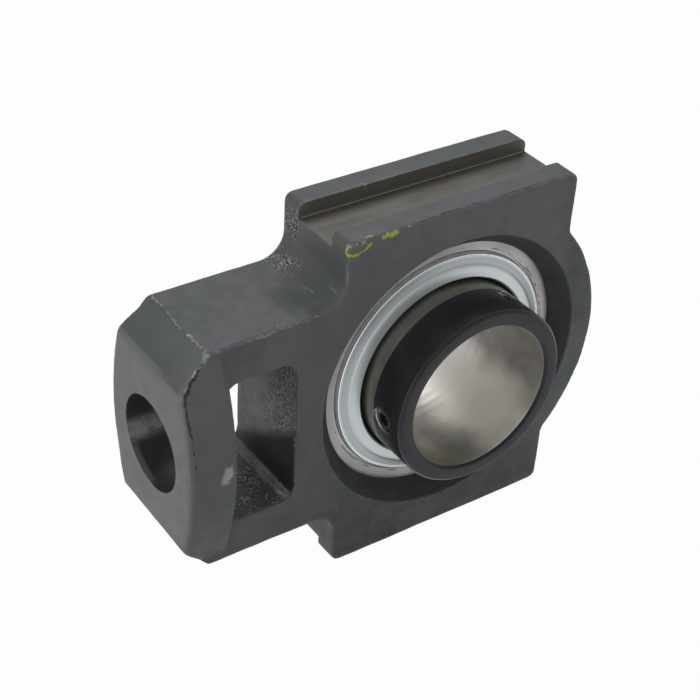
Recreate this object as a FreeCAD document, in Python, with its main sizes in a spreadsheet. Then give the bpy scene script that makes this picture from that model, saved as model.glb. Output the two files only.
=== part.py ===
import FreeCAD, Part
import math
import os

import Sketcher

# Take up bearing unit for a 70 mm shaft, in millimetres.
# X is the take up direction: the adjusting screw boss is at -X and the round nose at +X.
# Y is the shaft axis, with the set screw collar at -Y. Z is up.
# The origin is the centre of the bearing.

# Driving sizes of the insert bearing
BEARING_SIZES = {
    "shaft_diameter": 70.0,
    "inner_ring_wall": 5.0,
    "ball_diameter": 17.4625,
    "raceway_play": 0.0375,
    "outer_ring_wall": 5.0,
    "inner_raceway_depth": 2.75,
    "outer_raceway_depth": 3.0,
    "raceway_conformity": 0.52,
    "outer_ring_width": 28.0,
    "collar_reach": 44.4,
    "rear_reach": 30.2,
    "bore_chamfer": 1.2,
    "rim_chamfer": 1.2,
    "ball_count": 10,
    "cage_sheet": 1.2,
    "cage_play": 0.2,
    "cage_band": 7.6,
    "rivet_diameter": 2.4,
    "rivet_head_diameter": 4.4,
    "rivet_head_height": 0.9,
    "rivet_play": 0.05,
}

# Driving sizes of the cast frame, most of them measured outwards from the bearing
FRAME_SIZES = {
    "seat_clearance": 0.1,
    "seat_margin": 2.0,
    "mouth_flare": 7.0,
    "groove_floor_wall": 9.3,
    "groove_depth": 6.7,
    "groove_width": 24.0,
    "flange_thickness": 12.0,
    "flange_length": 117.6,
    "flange_corner": 4.0,
    "shoulder_fillet": 12.0,
    "nose_rim": 12.3,
    "nose_fillet": 5.0,
    "face_edge": 1.6,
    "window_bridge": 13.0,
    "window_length": 33.5,
    "window_height": 71.0,
    "window_corner": 7.0,
    "strap_height": 19.0,
    "end_wall": 21.0,
    "end_bevel_length": 13.5,
    "end_bevel_height": 15.0,
    "end_edge": 2.5,
    "crown_rise": 10.0,
    "crown_margin": 5.3,
    "screw_bore_diameter": 42.4,
    "loading_slot_clearance": 1.0,
}

# Driving sizes of the shields and the seals
SEAL_SIZES = {
    "seal_fit": 0.05,
    "seal_seat_step": 1.4,
    "seal_seat_depth": 4.5,
    "seal_web": 1.2,
    "seal_bead_width": 2.0,
    "seal_bead_length": 2.8,
    "lip_gap": 0.1,
    "lip_width": 2.2,
    "lip_tip": 0.6,
    "shield_sheet": 0.8,
    "shield_rim_width": 1.6,
    "shield_bead_reach": 1.8,
    "shield_dish": 0.4,
    "shield_step_reach": 3.0,
    "shield_step_rise": 0.5,
    "shield_inner_band": 5.4,
    "shield_edge_rise": 1.2,
    "shield_gap": 1.25,
    "shield_curl": 0.7,
}

# Driving sizes of the grease nipple and its passage
GREASE_SIZES = {
    "ring_groove_width": 3.6,
    "ring_groove_depth": 1.0,
    "ring_hole_diameter": 1.8,
    "passage_diameter": 4.0,
    "nipple_thread_diameter": 9.7,
    "nipple_thread_length": 6.5,
    "nipple_thread_clearance": 0.05,
    "nipple_thread_edge": 1.0,
    "nipple_tap_clearance": 1.5,
    "nipple_hex": 11.0,
    "nipple_hex_height": 4.5,
    "nipple_hex_gap": 0.2,
    "nipple_neck_diameter": 4.9,
    "nipple_neck_length": 3.0,
    "nipple_head_diameter": 6.5,
    "nipple_head_length": 3.2,
    "nipple_tip_diameter": 4.0,
    "nipple_bore_diameter": 3.0,
    "nipple_mouth_diameter": 1.8,
    "nipple_mouth_length": 0.8,
    "check_ball_diameter": 2.6,
    "check_ball_clearance": 0.05,
    "spring_wire": 0.36,
    "spring_diameter": 2.2,
    "spring_turns": 7.0,
    "spring_clearance": 0.05,
}

# Driving sizes of the set screws
SCREW_SIZES = {
    "set_screw_diameter": 12.0,
    "set_screw_thread_clearance": 0.05,
    "set_screw_sink": 1.1,
    "set_screw_tip_gap": 0.25,
    "set_screw_from_end": 13.0,
    "set_screw_edge": 0.9,
    "set_screw_socket": 6.0,
    "set_screw_socket_depth": 3.6,
    "set_screw_cup_diameter": 6.0,
    "set_screw_cup_depth": 1.0,
    "first_screw_angle": 59.0,
    "second_screw_angle": 185.5,
}

# Sizes that follow from the driving ones, from the bearing outwards
WORKED_OUT_SIZES = {
    "bore_radius": "shaft_diameter / 2",
    "ball_radius": "ball_diameter / 2",
    "inner_raceway_bottom": "bore_radius + inner_ring_wall",
    "outer_raceway_bottom": "inner_raceway_bottom + ball_diameter + raceway_play",
    "pitch_radius": "(inner_raceway_bottom + outer_raceway_bottom) / 2",
    "sphere_radius": "outer_raceway_bottom + outer_ring_wall",
    "inner_ring_radius": "inner_raceway_bottom + inner_raceway_depth",
    "outer_shoulder_radius": "outer_raceway_bottom - outer_raceway_depth",
    "raceway_radius": "raceway_conformity * ball_diameter",
    "inner_raceway_half": "sqrt(inner_raceway_depth * (2 * raceway_radius - inner_raceway_depth))",
    "outer_raceway_half": "sqrt(outer_raceway_depth * (2 * raceway_radius - outer_raceway_depth))",
    "half_ring": "outer_ring_width / 2",
    "ring_face_radius": "sqrt(sphere_radius ^ 2 - half_ring ^ 2)",
    "pocket_radius": "ball_radius + cage_play",
    "dome_radius": "pocket_radius + cage_sheet",
    "cage_inner_radius": "pitch_radius - cage_band / 2",
    "cage_outer_radius": "pitch_radius + cage_band / 2",
    "seal_seat_radius": "outer_shoulder_radius + seal_seat_step",
    "seal_seat_floor": "half_ring - seal_seat_depth",
    "seal_outer_radius": "seal_seat_radius - seal_fit",
    "seal_inner_face": "seal_seat_floor + seal_fit",
    "seal_outer_face": "seal_inner_face + seal_bead_length",
    "shield_inner_face": "seal_outer_face + seal_fit",
    "shield_hole_radius": "inner_ring_radius + shield_gap",
    "shield_step_radius": "shield_hole_radius + shield_inner_band",
    "seat_radius": "sphere_radius + seat_clearance",
    "half_seat": "half_ring + seat_margin",
    "seat_edge_radius": "sqrt(seat_radius ^ 2 - half_seat ^ 2)",
    "mouth_radius": "seat_edge_radius + mouth_flare",
    "loading_slot_half": "(outer_ring_width + loading_slot_clearance) / 2",
    "loading_slot_reach": "sqrt(seat_radius ^ 2 - loading_slot_half ^ 2)",
    "half_groove": "groove_width / 2",
    "half_thickness": "half_groove + flange_thickness",
    "half_floor_span": "mouth_radius + groove_floor_wall",
    "half_height": "half_floor_span + groove_depth",
    "half_flange": "flange_length / 2",
    "half_window": "window_height / 2",
    "half_boss": "half_window + strap_height",
    "nose_radius": "mouth_radius + nose_rim",
    "nose_join": "sqrt(nose_radius ^ 2 - half_flange ^ 2)",
    "window_near": "mouth_radius + window_bridge",
    "window_far": "window_near + window_length",
    "end_to_centre": "window_far + end_wall",
    "bevel_low": "half_boss - end_bevel_height",
    "crown_join": "half_boss - crown_margin",
    "crown_radius": "(crown_join ^ 2 + crown_rise ^ 2) / (2 * crown_rise)",
    "screw_plane": "set_screw_from_end - collar_reach",
    "set_screw_head": "inner_ring_radius - set_screw_sink",
    "set_screw_tip": "bore_radius + set_screw_tip_gap",
    "grease_offset": "(outer_raceway_half + seal_seat_floor) / 2",
    "nipple_seat": "nose_radius + nipple_hex_gap",
    "nipple_length": "nipple_hex_height + nipple_neck_length + nipple_head_length",
    "check_ball_reach": "nipple_length - nipple_mouth_length - check_ball_diameter / 2 - check_ball_clearance",
}

# How far a cut runs past the face that it opens
CUT_OVER = 1.0

# How close an edge lies to the place that names it
NEAR = 0.05


def make_sheet(doc):
    sheet = doc.addObject("Spreadsheet::Sheet", "dims")
    rows = {}
    for group in (BEARING_SIZES, FRAME_SIZES, SEAL_SIZES, GREASE_SIZES, SCREW_SIZES):
        rows.update({alias: str(number) for alias, number in group.items()})
    rows.update({alias: "=" + formula for alias, formula in WORKED_OUT_SIZES.items()})
    for row, (alias, content) in enumerate(rows.items(), start=1):
        sheet.set("A%d" % row, alias.replace("_", " "))
        sheet.set("B%d" % row, content)
        sheet.setAlias("B%d" % row, alias)
    doc.recompute()
    return sheet


def size(owner, formula):
    return float(owner.evalExpression(formula))


def origin_part(body, role):
    return [item for item in body.Origin.OriginFeatures if item.Role == role][0]


def add_body(doc, label):
    body = doc.addObject("PartDesign::Body", label)
    body.Label = label
    return body


def add_sketch(body, name, plane):
    sketch = body.newObject("Sketcher::SketchObject", name)
    sketch.AttachmentSupport = [(origin_part(body, plane), "")]
    sketch.MapMode = "FlatFace"
    return sketch


def drive(sketch, kind, name, target, formula):
    # One signed distance or radius, tied to its formula
    number = size(sketch, formula)
    index = sketch.addConstraint(Sketcher.Constraint(kind, *target, number))
    sketch.renameConstraint(index, name)
    if formula != "0":
        sketch.setExpression("Constraints." + name, formula)


def arc_between(start, end, radius, turn):
    # Arc of a circle from start to end, the short way round, turning left or right
    first, last = (start, end) if turn == "left" else (end, start)
    chord = last - first
    rise = math.sqrt(max(radius ** 2 - (chord.Length / 2) ** 2, 0.0))
    centre = first + chord * 0.5 + FreeCAD.Vector(-chord.y, chord.x, 0).normalize() * rise
    from_angle = math.atan2(first.y - centre.y, first.x - centre.x)
    to_angle = math.atan2(last.y - centre.y, last.x - centre.x)
    if to_angle < from_angle:
        to_angle += 2 * math.pi
    circle = Part.Circle(centre, FreeCAD.Vector(0, 0, 1), radius)
    return Part.ArcOfCircle(circle, from_angle, to_angle)


def add_outline(sketch, corners):
    # Closed outline: a corner is (across, up), with (radius, turn) added where an arc leaves it
    begin = sketch.GeometryCount
    places = [FreeCAD.Vector(size(sketch, c[0]), size(sketch, c[1]), 0) for c in corners]
    ends = []
    for number, corner in enumerate(corners):
        start = places[number]
        end = places[(number + 1) % len(corners)]
        if len(corner) == 2:
            sketch.addGeometry(Part.LineSegment(start, end))
            ends.append((1, 2))
        else:
            sketch.addGeometry(arc_between(start, end, size(sketch, corner[2]), corner[3]))
            ends.append((1, 2) if corner[3] == "left" else (2, 1))
    for number, corner in enumerate(corners):
        edge = begin + number
        before = begin + (number - 1) % len(corners)
        leave = ends[number][0]
        arrive = ends[(number - 1) % len(corners)][1]
        sketch.addConstraint(Sketcher.Constraint("Coincident", before, arrive, edge, leave))
        drive(sketch, "DistanceX", "across_%d" % edge, (-1, 1, edge, leave), corner[0])
        drive(sketch, "DistanceY", "up_%d" % edge, (-1, 1, edge, leave), corner[1])
        if len(corner) == 4:
            drive(sketch, "Radius", "bend_%d" % edge, (edge,), corner[2])


def add_circle(sketch, across, up, radius):
    centre = FreeCAD.Vector(size(sketch, across), size(sketch, up), 0)
    circle = Part.Circle(centre, FreeCAD.Vector(0, 0, 1), size(sketch, radius))
    edge = sketch.addGeometry(circle)
    drive(sketch, "DistanceX", "across_%d" % edge, (-1, 1, edge, 3), across)
    drive(sketch, "DistanceY", "up_%d" % edge, (-1, 1, edge, 3), up)
    drive(sketch, "Radius", "bend_%d" % edge, (edge,), radius)


def rectangle(left, low, right, high):
    return [(left, low), (right, low), (right, high), (left, high)]


def hexagon(across_flats):
    # Corners of a hexagon about the sketch's origin, with two flats level
    corners = []
    for step in range(6):
        angle = "%d deg" % (60 * step)
        corner = across_flats + " / sqrt(3)"
        corners.append(("%s * cos(%s)" % (corner, angle), "%s * sin(%s)" % (corner, angle)))
    return corners


def add_feature(body, kind, name, sketch, **settings):
    feature = body.newObject("PartDesign::" + kind, name)
    feature.Profile = sketch
    for key, setting in settings.items():
        setattr(feature, key, setting)
    return feature


def cut_through(body, name, sketch):
    # Cut both ways from the sketch, all the way
    return add_feature(body, "Pocket", name, sketch, Type="ThroughAll", Midplane=True)


def turn_about_shaft(body, kind, name, sketch):
    return add_feature(body, kind, name, sketch, ReferenceAxis=(sketch, ["V_Axis"]), Angle=360)


def turned_body(doc, label, *outlines):
    # Each outline lies in the half plane of radius and place along the axis
    body = add_body(doc, label)
    sketch = add_sketch(body, label + "_section", "XY_Plane")
    for corners in outlines:
        add_outline(sketch, corners)
    turn_about_shaft(body, "Revolution", label + "_turned", sketch)
    return body


def ring_pattern(body, name, feature):
    pattern = body.newObject("PartDesign::PolarPattern", name)
    pattern.Originals = [feature]
    pattern.Axis = (origin_part(body, "Y_Axis"), [""])
    pattern.Angle = 360
    pattern.setExpression("Occurrences", "dims.ball_count")
    body.Tip = pattern
    return pattern


def edges_where(shape, test):
    return ["Edge%d" % (n + 1) for n, edge in enumerate(shape.Edges) if test(edge)]


def round_edges(doc, body, name, radius, test):
    doc.recompute()
    base = body.Tip
    fillet = body.newObject("PartDesign::Fillet", name)
    fillet.Base = (base, edges_where(base.Shape, test))
    fillet.setExpression("Radius", radius)
    doc.recompute()


def level_edge(places):
    # True for an edge along Y at one of the places, given as (x, z)
    def test(edge):
        box = edge.BoundBox
        if box.XLength > NEAR or box.ZLength > NEAR:
            return False
        return any(math.hypot(box.Center.x - x, box.Center.z - z) < NEAR for x, z in places)
    return test


def both_heights(across, up):
    return [(across, up), (across, -up)]


def make_frame_blank(doc, body):
    # Side view of the frame: screw boss, guide flanges and round nose in one casting
    outline = add_sketch(body, "side_outline", "XZ_Plane")
    add_outline(outline, [
        ("-dims.end_to_centre", "-dims.half_boss"),
        ("-dims.half_flange", "-dims.half_boss"),
        ("-dims.half_flange", "-dims.half_height"),
        ("dims.half_flange", "-dims.half_height"),
        ("dims.half_flange", "-dims.nose_join", "dims.nose_radius", "left"),
        ("dims.half_flange", "dims.nose_join"),
        ("dims.half_flange", "dims.half_height"),
        ("-dims.half_flange", "dims.half_height"),
        ("-dims.half_flange", "dims.half_boss"),
        ("-dims.end_to_centre", "dims.half_boss"),
    ])
    blank = add_feature(body, "Pad", "frame_blank", outline, Midplane=True)
    blank.setExpression("Length", "2 * dims.half_thickness")

    flange = size(body, "dims.half_flange")
    boss = size(body, "dims.half_boss")
    top = size(body, "dims.half_height")
    nose = size(body, "dims.nose_join")
    round_edges(doc, body, "shoulders", "dims.shoulder_fillet", level_edge(both_heights(-flange, boss)))
    round_edges(doc, body, "nose_joins", "dims.nose_fillet", level_edge(both_heights(flange, nose)))
    corners = both_heights(flange, top) + both_heights(-flange, top)
    round_edges(doc, body, "flange_corners", "dims.flange_corner", level_edge(corners))

    face = size(body, "dims.half_thickness")

    def on_a_face(edge):
        box = edge.BoundBox
        return box.YLength < NEAR and abs(abs(box.Center.y) - face) < NEAR
    round_edges(doc, body, "face_edges", "dims.face_edge", on_a_face)


def add_crowned_end(doc, body):
    # The end wall is thicker than the frame and its two flanks are crowned
    end = add_sketch(body, "crown_outline", "YZ_Plane")
    end.setExpression("AttachmentOffset.Base.z", "-dims.end_to_centre")
    add_outline(end, [
        ("-dims.half_thickness", "-dims.crown_join"),
        ("dims.half_thickness", "-dims.crown_join", "dims.crown_radius", "left"),
        ("dims.half_thickness", "dims.crown_join"),
        ("-dims.half_thickness", "dims.crown_join", "dims.crown_radius", "left"),
    ])
    crown = add_feature(body, "Pad", "crowned_end", end)
    crown.setExpression("Length", "dims.end_wall")

    bevels = add_sketch(body, "end_bevel_outline", "XZ_Plane")
    for side in ("", "-"):
        add_outline(bevels, [
            ("-dims.end_to_centre", side + "dims.half_boss"),
            ("dims.end_bevel_length - dims.end_to_centre", side + "dims.half_boss"),
            ("-dims.end_to_centre", side + "dims.bevel_low"),
        ])
    cut_through(body, "end_bevels", bevels)

    end_x = size(body, "-dims.end_to_centre")
    low_z = size(body, "dims.bevel_low")

    def around_end_face(edge):
        box = edge.BoundBox
        return box.XLength < NEAR and abs(box.Center.x - end_x) < NEAR and abs(box.Center.z) < low_z + NEAR
    round_edges(doc, body, "end_face_edges", "dims.end_edge", around_end_face)


def cut_frame_openings(doc, body):
    # Guide grooves along the top and the bottom
    grooves = add_sketch(body, "groove_outline", "YZ_Plane")
    beyond = "(dims.half_height + %s)" % CUT_OVER
    for side in ("", "-"):
        floor = side + "dims.half_floor_span"
        add_outline(grooves, rectangle("-dims.half_groove", floor, "dims.half_groove", side + beyond))
    cut_through(body, "guide_grooves", grooves)

    # Window for the adjusting nut
    window = add_sketch(body, "window_outline", "XZ_Plane")
    add_outline(window, rectangle("-dims.window_far", "-dims.half_window", "-dims.window_near", "dims.half_window"))
    cut_through(body, "nut_window", window)
    high = size(body, "dims.half_window")
    far = size(body, "-dims.window_far")
    near = size(body, "-dims.window_near")
    corners = both_heights(far, high) + both_heights(near, high)
    round_edges(doc, body, "window_corners", "dims.window_corner", level_edge(corners))

    # Bore for the adjusting screw
    bore = add_sketch(body, "screw_bore_outline", "YZ_Plane")
    bore.setExpression("AttachmentOffset.Base.z", "-dims.end_to_centre")
    add_circle(bore, "0", "0", "dims.screw_bore_diameter / 2")
    screw_bore = add_feature(body, "Pocket", "screw_bore", bore, Reversed=True)
    screw_bore.setExpression("Length", "dims.end_wall + %s" % CUT_OVER)


def cut_bearing_seat(body):
    # Spherical seat with a flared mouth on both sides
    seat = add_sketch(body, "seat_section", "XY_Plane")
    beyond = "(dims.half_thickness + %s)" % CUT_OVER
    add_outline(seat, [
        ("0", "-" + beyond),
        ("dims.mouth_radius", "-" + beyond),
        ("dims.mouth_radius", "-dims.half_thickness"),
        ("dims.seat_edge_radius", "-dims.half_seat", "dims.seat_radius", "left"),
        ("dims.seat_edge_radius", "dims.half_seat"),
        ("dims.mouth_radius", "dims.half_thickness"),
        ("dims.mouth_radius", beyond),
        ("0", beyond),
    ])
    turn_about_shaft(body, "Groove", "bearing_seat", seat)

    # The outer ring goes in edge on, through two slots that open to the rear
    slots = add_sketch(body, "loading_slot_outline", "XZ_Plane")
    add_outline(slots, [
        ("-dims.loading_slot_half", "-dims.loading_slot_reach", "dims.seat_radius", "left"),
        ("dims.loading_slot_half", "-dims.loading_slot_reach"),
        ("dims.loading_slot_half", "dims.loading_slot_reach", "dims.seat_radius", "left"),
        ("-dims.loading_slot_half", "dims.loading_slot_reach"),
    ])
    add_feature(body, "Pocket", "loading_slots", slots, Type="ThroughAll")


def cut_grease_passage(body):
    # Tapped hole in the nose, and the passage from it to the seat
    for name, width, depth in (
        ("nipple_tap", "dims.nipple_thread_diameter / 2", "dims.nipple_thread_length + dims.nipple_tap_clearance"),
        ("grease_passage", "dims.passage_diameter / 2", "dims.nose_radius - dims.seat_edge_radius"),
    ):
        hole = add_sketch(body, name + "_outline", "YZ_Plane")
        hole.setExpression("AttachmentOffset.Base.z", "dims.nose_radius")
        add_circle(hole, "dims.grease_offset", "0", width)
        pocket = add_feature(body, "Pocket", name, hole)
        pocket.setExpression("Length", depth)


def make_housing(doc):
    body = add_body(doc, "housing")
    make_frame_blank(doc, body)
    add_crowned_end(doc, body)
    cut_frame_openings(doc, body)
    cut_bearing_seat(body)
    cut_grease_passage(body)
    return body


def make_outer_ring(doc):
    shoulder = "dims.outer_shoulder_radius"
    seal_seat = "dims.seal_seat_radius"
    seat_floor = "dims.seal_seat_floor"
    body = turned_body(doc, "outer_ring", [
        (seal_seat, "-dims.half_ring"),
        ("dims.ring_face_radius", "-dims.half_ring", "dims.sphere_radius", "left"),
        ("dims.ring_face_radius", "dims.half_ring"),
        (seal_seat, "dims.half_ring"),
        (seal_seat, seat_floor),
        (shoulder, seat_floor),
        (shoulder, "dims.outer_raceway_half", "dims.raceway_radius", "right"),
        (shoulder, "-dims.outer_raceway_half"),
        (shoulder, "-" + seat_floor),
        (seal_seat, "-" + seat_floor),
    ])
    # Grease groove round the sphere, and two holes from it into the bearing
    groove = add_sketch(body, "ring_groove_section", "XY_Plane")
    half_width = "dims.ring_groove_width / 2"
    add_outline(groove, rectangle(
        "sqrt(dims.sphere_radius ^ 2 - dims.grease_offset ^ 2) - dims.ring_groove_depth",
        "dims.grease_offset - " + half_width,
        "dims.sphere_radius + %s" % CUT_OVER,
        "dims.grease_offset + " + half_width,
    ))
    turn_about_shaft(body, "Groove", "ring_groove", groove)
    holes = add_sketch(body, "ring_hole_outline", "YZ_Plane")
    add_circle(holes, "dims.grease_offset", "0", "dims.ring_hole_diameter / 2")
    cut_through(body, "ring_holes", holes)
    return body


def make_inner_ring(doc):
    # Wide inner ring, with the set screw collar turned on its long side
    bore = "dims.bore_radius"
    outside = "dims.inner_ring_radius"
    body = turned_body(doc, "inner_ring", [
        (bore, "dims.bore_chamfer - dims.collar_reach"),
        (bore + " + dims.bore_chamfer", "-dims.collar_reach"),
        (outside + " - dims.rim_chamfer", "-dims.collar_reach"),
        (outside, "dims.rim_chamfer - dims.collar_reach"),
        (outside, "-dims.inner_raceway_half", "dims.raceway_radius", "right"),
        (outside, "dims.inner_raceway_half"),
        (outside, "dims.rear_reach - dims.rim_chamfer"),
        (outside + " - dims.rim_chamfer", "dims.rear_reach"),
        (bore + " + dims.bore_chamfer", "dims.rear_reach"),
        (bore, "dims.rear_reach - dims.bore_chamfer"),
    ])
    # Tapped holes, each cut from the axis outwards through one wall
    for number, angle in enumerate(("first_screw_angle", "second_screw_angle"), start=1):
        tap = add_sketch(body, "tap_%d_outline" % number, "YZ_Plane")
        turn = FreeCAD.Rotation(FreeCAD.Vector(1, 0, 0), -size(body, "dims." + angle))
        tap.AttachmentOffset = FreeCAD.Placement(FreeCAD.Vector(), turn)
        radius = "dims.set_screw_diameter / 2 + dims.set_screw_thread_clearance"
        add_circle(tap, "dims.screw_plane", "0", radius)
        hole = add_feature(body, "Pocket", "tap_%d" % number, tap, Reversed=True)
        hole.setExpression("Length", "dims.inner_ring_radius + %s" % CUT_OVER)
    return body


def make_balls(doc):
    balls = []
    count = int(BEARING_SIZES["ball_count"])
    for number in range(count):
        ball = doc.addObject("Part::Sphere", "ball_%02d" % (number + 1))
        ball.Label = "ball_%02d" % (number + 1)
        ball.setExpression("Radius", "dims.ball_radius")
        angle = "(360 * %d / dims.ball_count * 1 deg)" % number
        ball.setExpression("Placement.Base.x", "dims.pitch_radius * cos(%s)" % angle)
        ball.setExpression("Placement.Base.z", "dims.pitch_radius * sin(%s)" % angle)
        balls.append(ball)
    return balls


def make_cage_half(doc, label, side):
    # Pressed sheet half: a flat ring with a round pocket for each ball
    inner = "dims.cage_inner_radius"
    outer = "dims.cage_outer_radius"
    body = turned_body(doc, label, rectangle(inner, "0", outer, side + "dims.cage_sheet"))
    reach = "(dims.dome_radius + %s)" % CUT_OVER
    for kind, name, radius in (
        ("AdditiveSphere", "dome", "dims.dome_radius"),
        ("SubtractiveSphere", "pocket", "dims.pocket_radius"),
    ):
        sphere = body.newObject("PartDesign::" + kind, "%s_%s" % (label, name))
        sphere.setExpression("Radius", radius)
        sphere.setExpression("Placement.Base.x", "dims.pitch_radius")
        ring_pattern(body, "%s_%ss" % (label, name), sphere)
    # What lies outside the ring's band or past the joint face is trimmed away
    trim = add_sketch(body, label + "_trim_section", "XY_Plane")
    add_outline(trim, [
        (inner + " - dims.dome_radius", side + reach),
        (inner, side + reach),
        (inner, "0"),
        (outer, "0"),
        (outer, side + reach),
        (outer + " + dims.dome_radius", side + reach),
        (outer + " + dims.dome_radius", "0 - %s%s" % (side, reach)),
        (inner + " - dims.dome_radius", "0 - %s%s" % (side, reach)),
    ])
    turn_about_shaft(body, "Groove", label + "_trim", trim)
    # A rivet hole stands halfway between two pockets
    holes = add_sketch(body, label + "_hole_outline", "XZ_Plane")
    between = "(180 / dims.ball_count * 1 deg)"
    radius = "dims.rivet_diameter / 2 + dims.rivet_play"
    add_circle(holes, "dims.pitch_radius * cos(%s)" % between, "dims.pitch_radius * sin(%s)" % between, radius)
    hole = cut_through(body, label + "_hole", holes)
    ring_pattern(body, label + "_holes", hole)
    return body


def make_rivets(doc):
    # Ten like rivets, kept together as one group of solids
    shank = size(doc.dims, "rivet_diameter / 2")
    head = size(doc.dims, "rivet_head_diameter / 2")
    grip = size(doc.dims, "cage_sheet + rivet_play")
    top = size(doc.dims, "cage_sheet + rivet_play + rivet_head_height")
    section = Part.makePolygon([
        FreeCAD.Vector(0, -top, 0), FreeCAD.Vector(shank, -top, 0), FreeCAD.Vector(head, -grip, 0),
        FreeCAD.Vector(shank, -grip, 0), FreeCAD.Vector(shank, grip, 0), FreeCAD.Vector(head, grip, 0),
        FreeCAD.Vector(shank, top, 0), FreeCAD.Vector(0, top, 0), FreeCAD.Vector(0, -top, 0),
    ])
    rivet = Part.Face(section).revolve(FreeCAD.Vector(), FreeCAD.Vector(0, 1, 0), 360)
    count = int(BEARING_SIZES["ball_count"])
    pitch = size(doc.dims, "pitch_radius")
    copies = []
    for number in range(count):
        copy = rivet.copy()
        copy.translate(FreeCAD.Vector(pitch, 0, 0))
        copy.rotate(FreeCAD.Vector(), FreeCAD.Vector(0, 1, 0), 360 * (number + 0.5) / count)
        copies.append(copy)
    rivets = doc.addObject("Part::Feature", "cage_rivets")
    rivets.Label = "cage_rivets"
    rivets.Shape = Part.makeCompound(copies)
    return rivets


def make_shield(doc, label, side):
    # Pressed sheet: flat rim in the seat, sharp bead, coned band, low step, coned edge with a curl
    rim = "dims.seal_outer_radius"
    bead = "(%s - dims.shield_rim_width)" % rim
    step = "dims.shield_step_radius"
    hole = "dims.shield_hole_radius"
    low = "dims.shield_inner_face"
    bead_top = "(dims.half_ring + dims.shield_bead_reach)"
    dish = "(%s - dims.shield_dish)" % bead_top
    raised = "(dims.half_ring + dims.shield_step_reach)"
    foot = "(%s - dims.shield_step_rise)" % raised
    edge = "(%s + dims.shield_edge_rise)" % raised
    sheet = "dims.shield_sheet"
    corners = [
        (rim, low),
        (rim, "%s + %s" % (low, sheet)),
        ("%s + %s" % (bead, sheet), "%s + %s" % (low, sheet)),
        (bead, bead_top),
        ("%s - %s" % (bead, sheet), dish),
        ("%s + %s / 2" % (step, sheet), foot),
        (step, raised),
        ("%s + %s" % (hole, sheet), edge),
        (hole, "%s - dims.shield_curl" % edge),
        (hole, "%s - dims.shield_curl - %s" % (edge, sheet)),
        ("%s + %s" % (hole, sheet), "%s - %s" % (edge, sheet)),
        (step, "%s - %s" % (raised, sheet)),
        ("%s + %s / 2" % (step, sheet), "%s - %s" % (foot, sheet)),
        ("%s - %s" % (bead, sheet), "%s - %s" % (dish, sheet)),
        (bead, low),
    ]
    return turned_body(doc, label, [(across, "%s(%s)" % (side, along)) for across, along in corners])


def make_seal(doc, label, side):
    # Moulded rubber seal: bead held behind the shield, web, and lip on the inner ring
    rim = "dims.seal_outer_radius"
    bead = "(%s - dims.seal_bead_width)" % rim
    lip_root = "dims.shield_hole_radius"
    lip = "dims.inner_ring_radius + dims.lip_gap"
    inside = "dims.seal_inner_face"
    outside = "dims.seal_outer_face"
    web = "(%s - dims.seal_web)" % outside
    corners = [
        (rim, inside),
        (rim, outside),
        (lip_root, outside),
        (lip, "%s + dims.lip_width / 2 - dims.seal_web" % outside),
        (lip, "%s + dims.lip_width / 2 - dims.seal_web - dims.lip_tip" % outside),
        (lip_root, web),
        (bead, web),
        (bead, inside),
    ]
    return turned_body(doc, label, [(across, "%s(%s)" % (side, along)) for across, along in corners])


def make_set_screw(doc, label, angle):
    # Headless screw, turned about its own axis, with a cup point inwards and a socket outwards
    tip = "dims.set_screw_tip"
    head = "dims.set_screw_head"
    radius = "dims.set_screw_diameter / 2"
    body = turned_body(doc, label, [
        ("0", "%s + dims.set_screw_cup_depth" % tip),
        ("dims.set_screw_cup_diameter / 2", tip),
        (radius + " - dims.set_screw_edge", tip),
        (radius, "%s + dims.set_screw_edge" % tip),
        (radius, "%s - dims.set_screw_edge" % head),
        (radius + " - dims.set_screw_edge", head),
        ("0", head),
    ])
    socket = add_sketch(body, label + "_socket_outline", "XZ_Plane")
    socket.setExpression("AttachmentOffset.Base.z", "-(%s)" % head)
    add_outline(socket, hexagon("dims.set_screw_socket"))
    pocket = add_feature(body, "Pocket", label + "_socket", socket, Reversed=True)
    pocket.setExpression("Length", "dims.set_screw_socket_depth")
    outward = FreeCAD.Rotation(FreeCAD.Vector(0, 0, 1), -90)
    swing = FreeCAD.Rotation(FreeCAD.Vector(0, 1, 0), -size(body, "dims." + angle))
    body.Placement = FreeCAD.Placement(FreeCAD.Vector(), swing.multiply(outward))
    body.setExpression("Placement.Base.y", "dims.screw_plane")
    return body


def set_on_nose(body):
    # A piece built along Y is laid along X, with its zero at the nipple's seat on the nose
    body.Placement = FreeCAD.Placement(FreeCAD.Vector(), FreeCAD.Rotation(FreeCAD.Vector(0, 0, 1), -90))
    body.setExpression("Placement.Base.x", "dims.nipple_seat")
    body.setExpression("Placement.Base.y", "dims.grease_offset")


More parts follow.
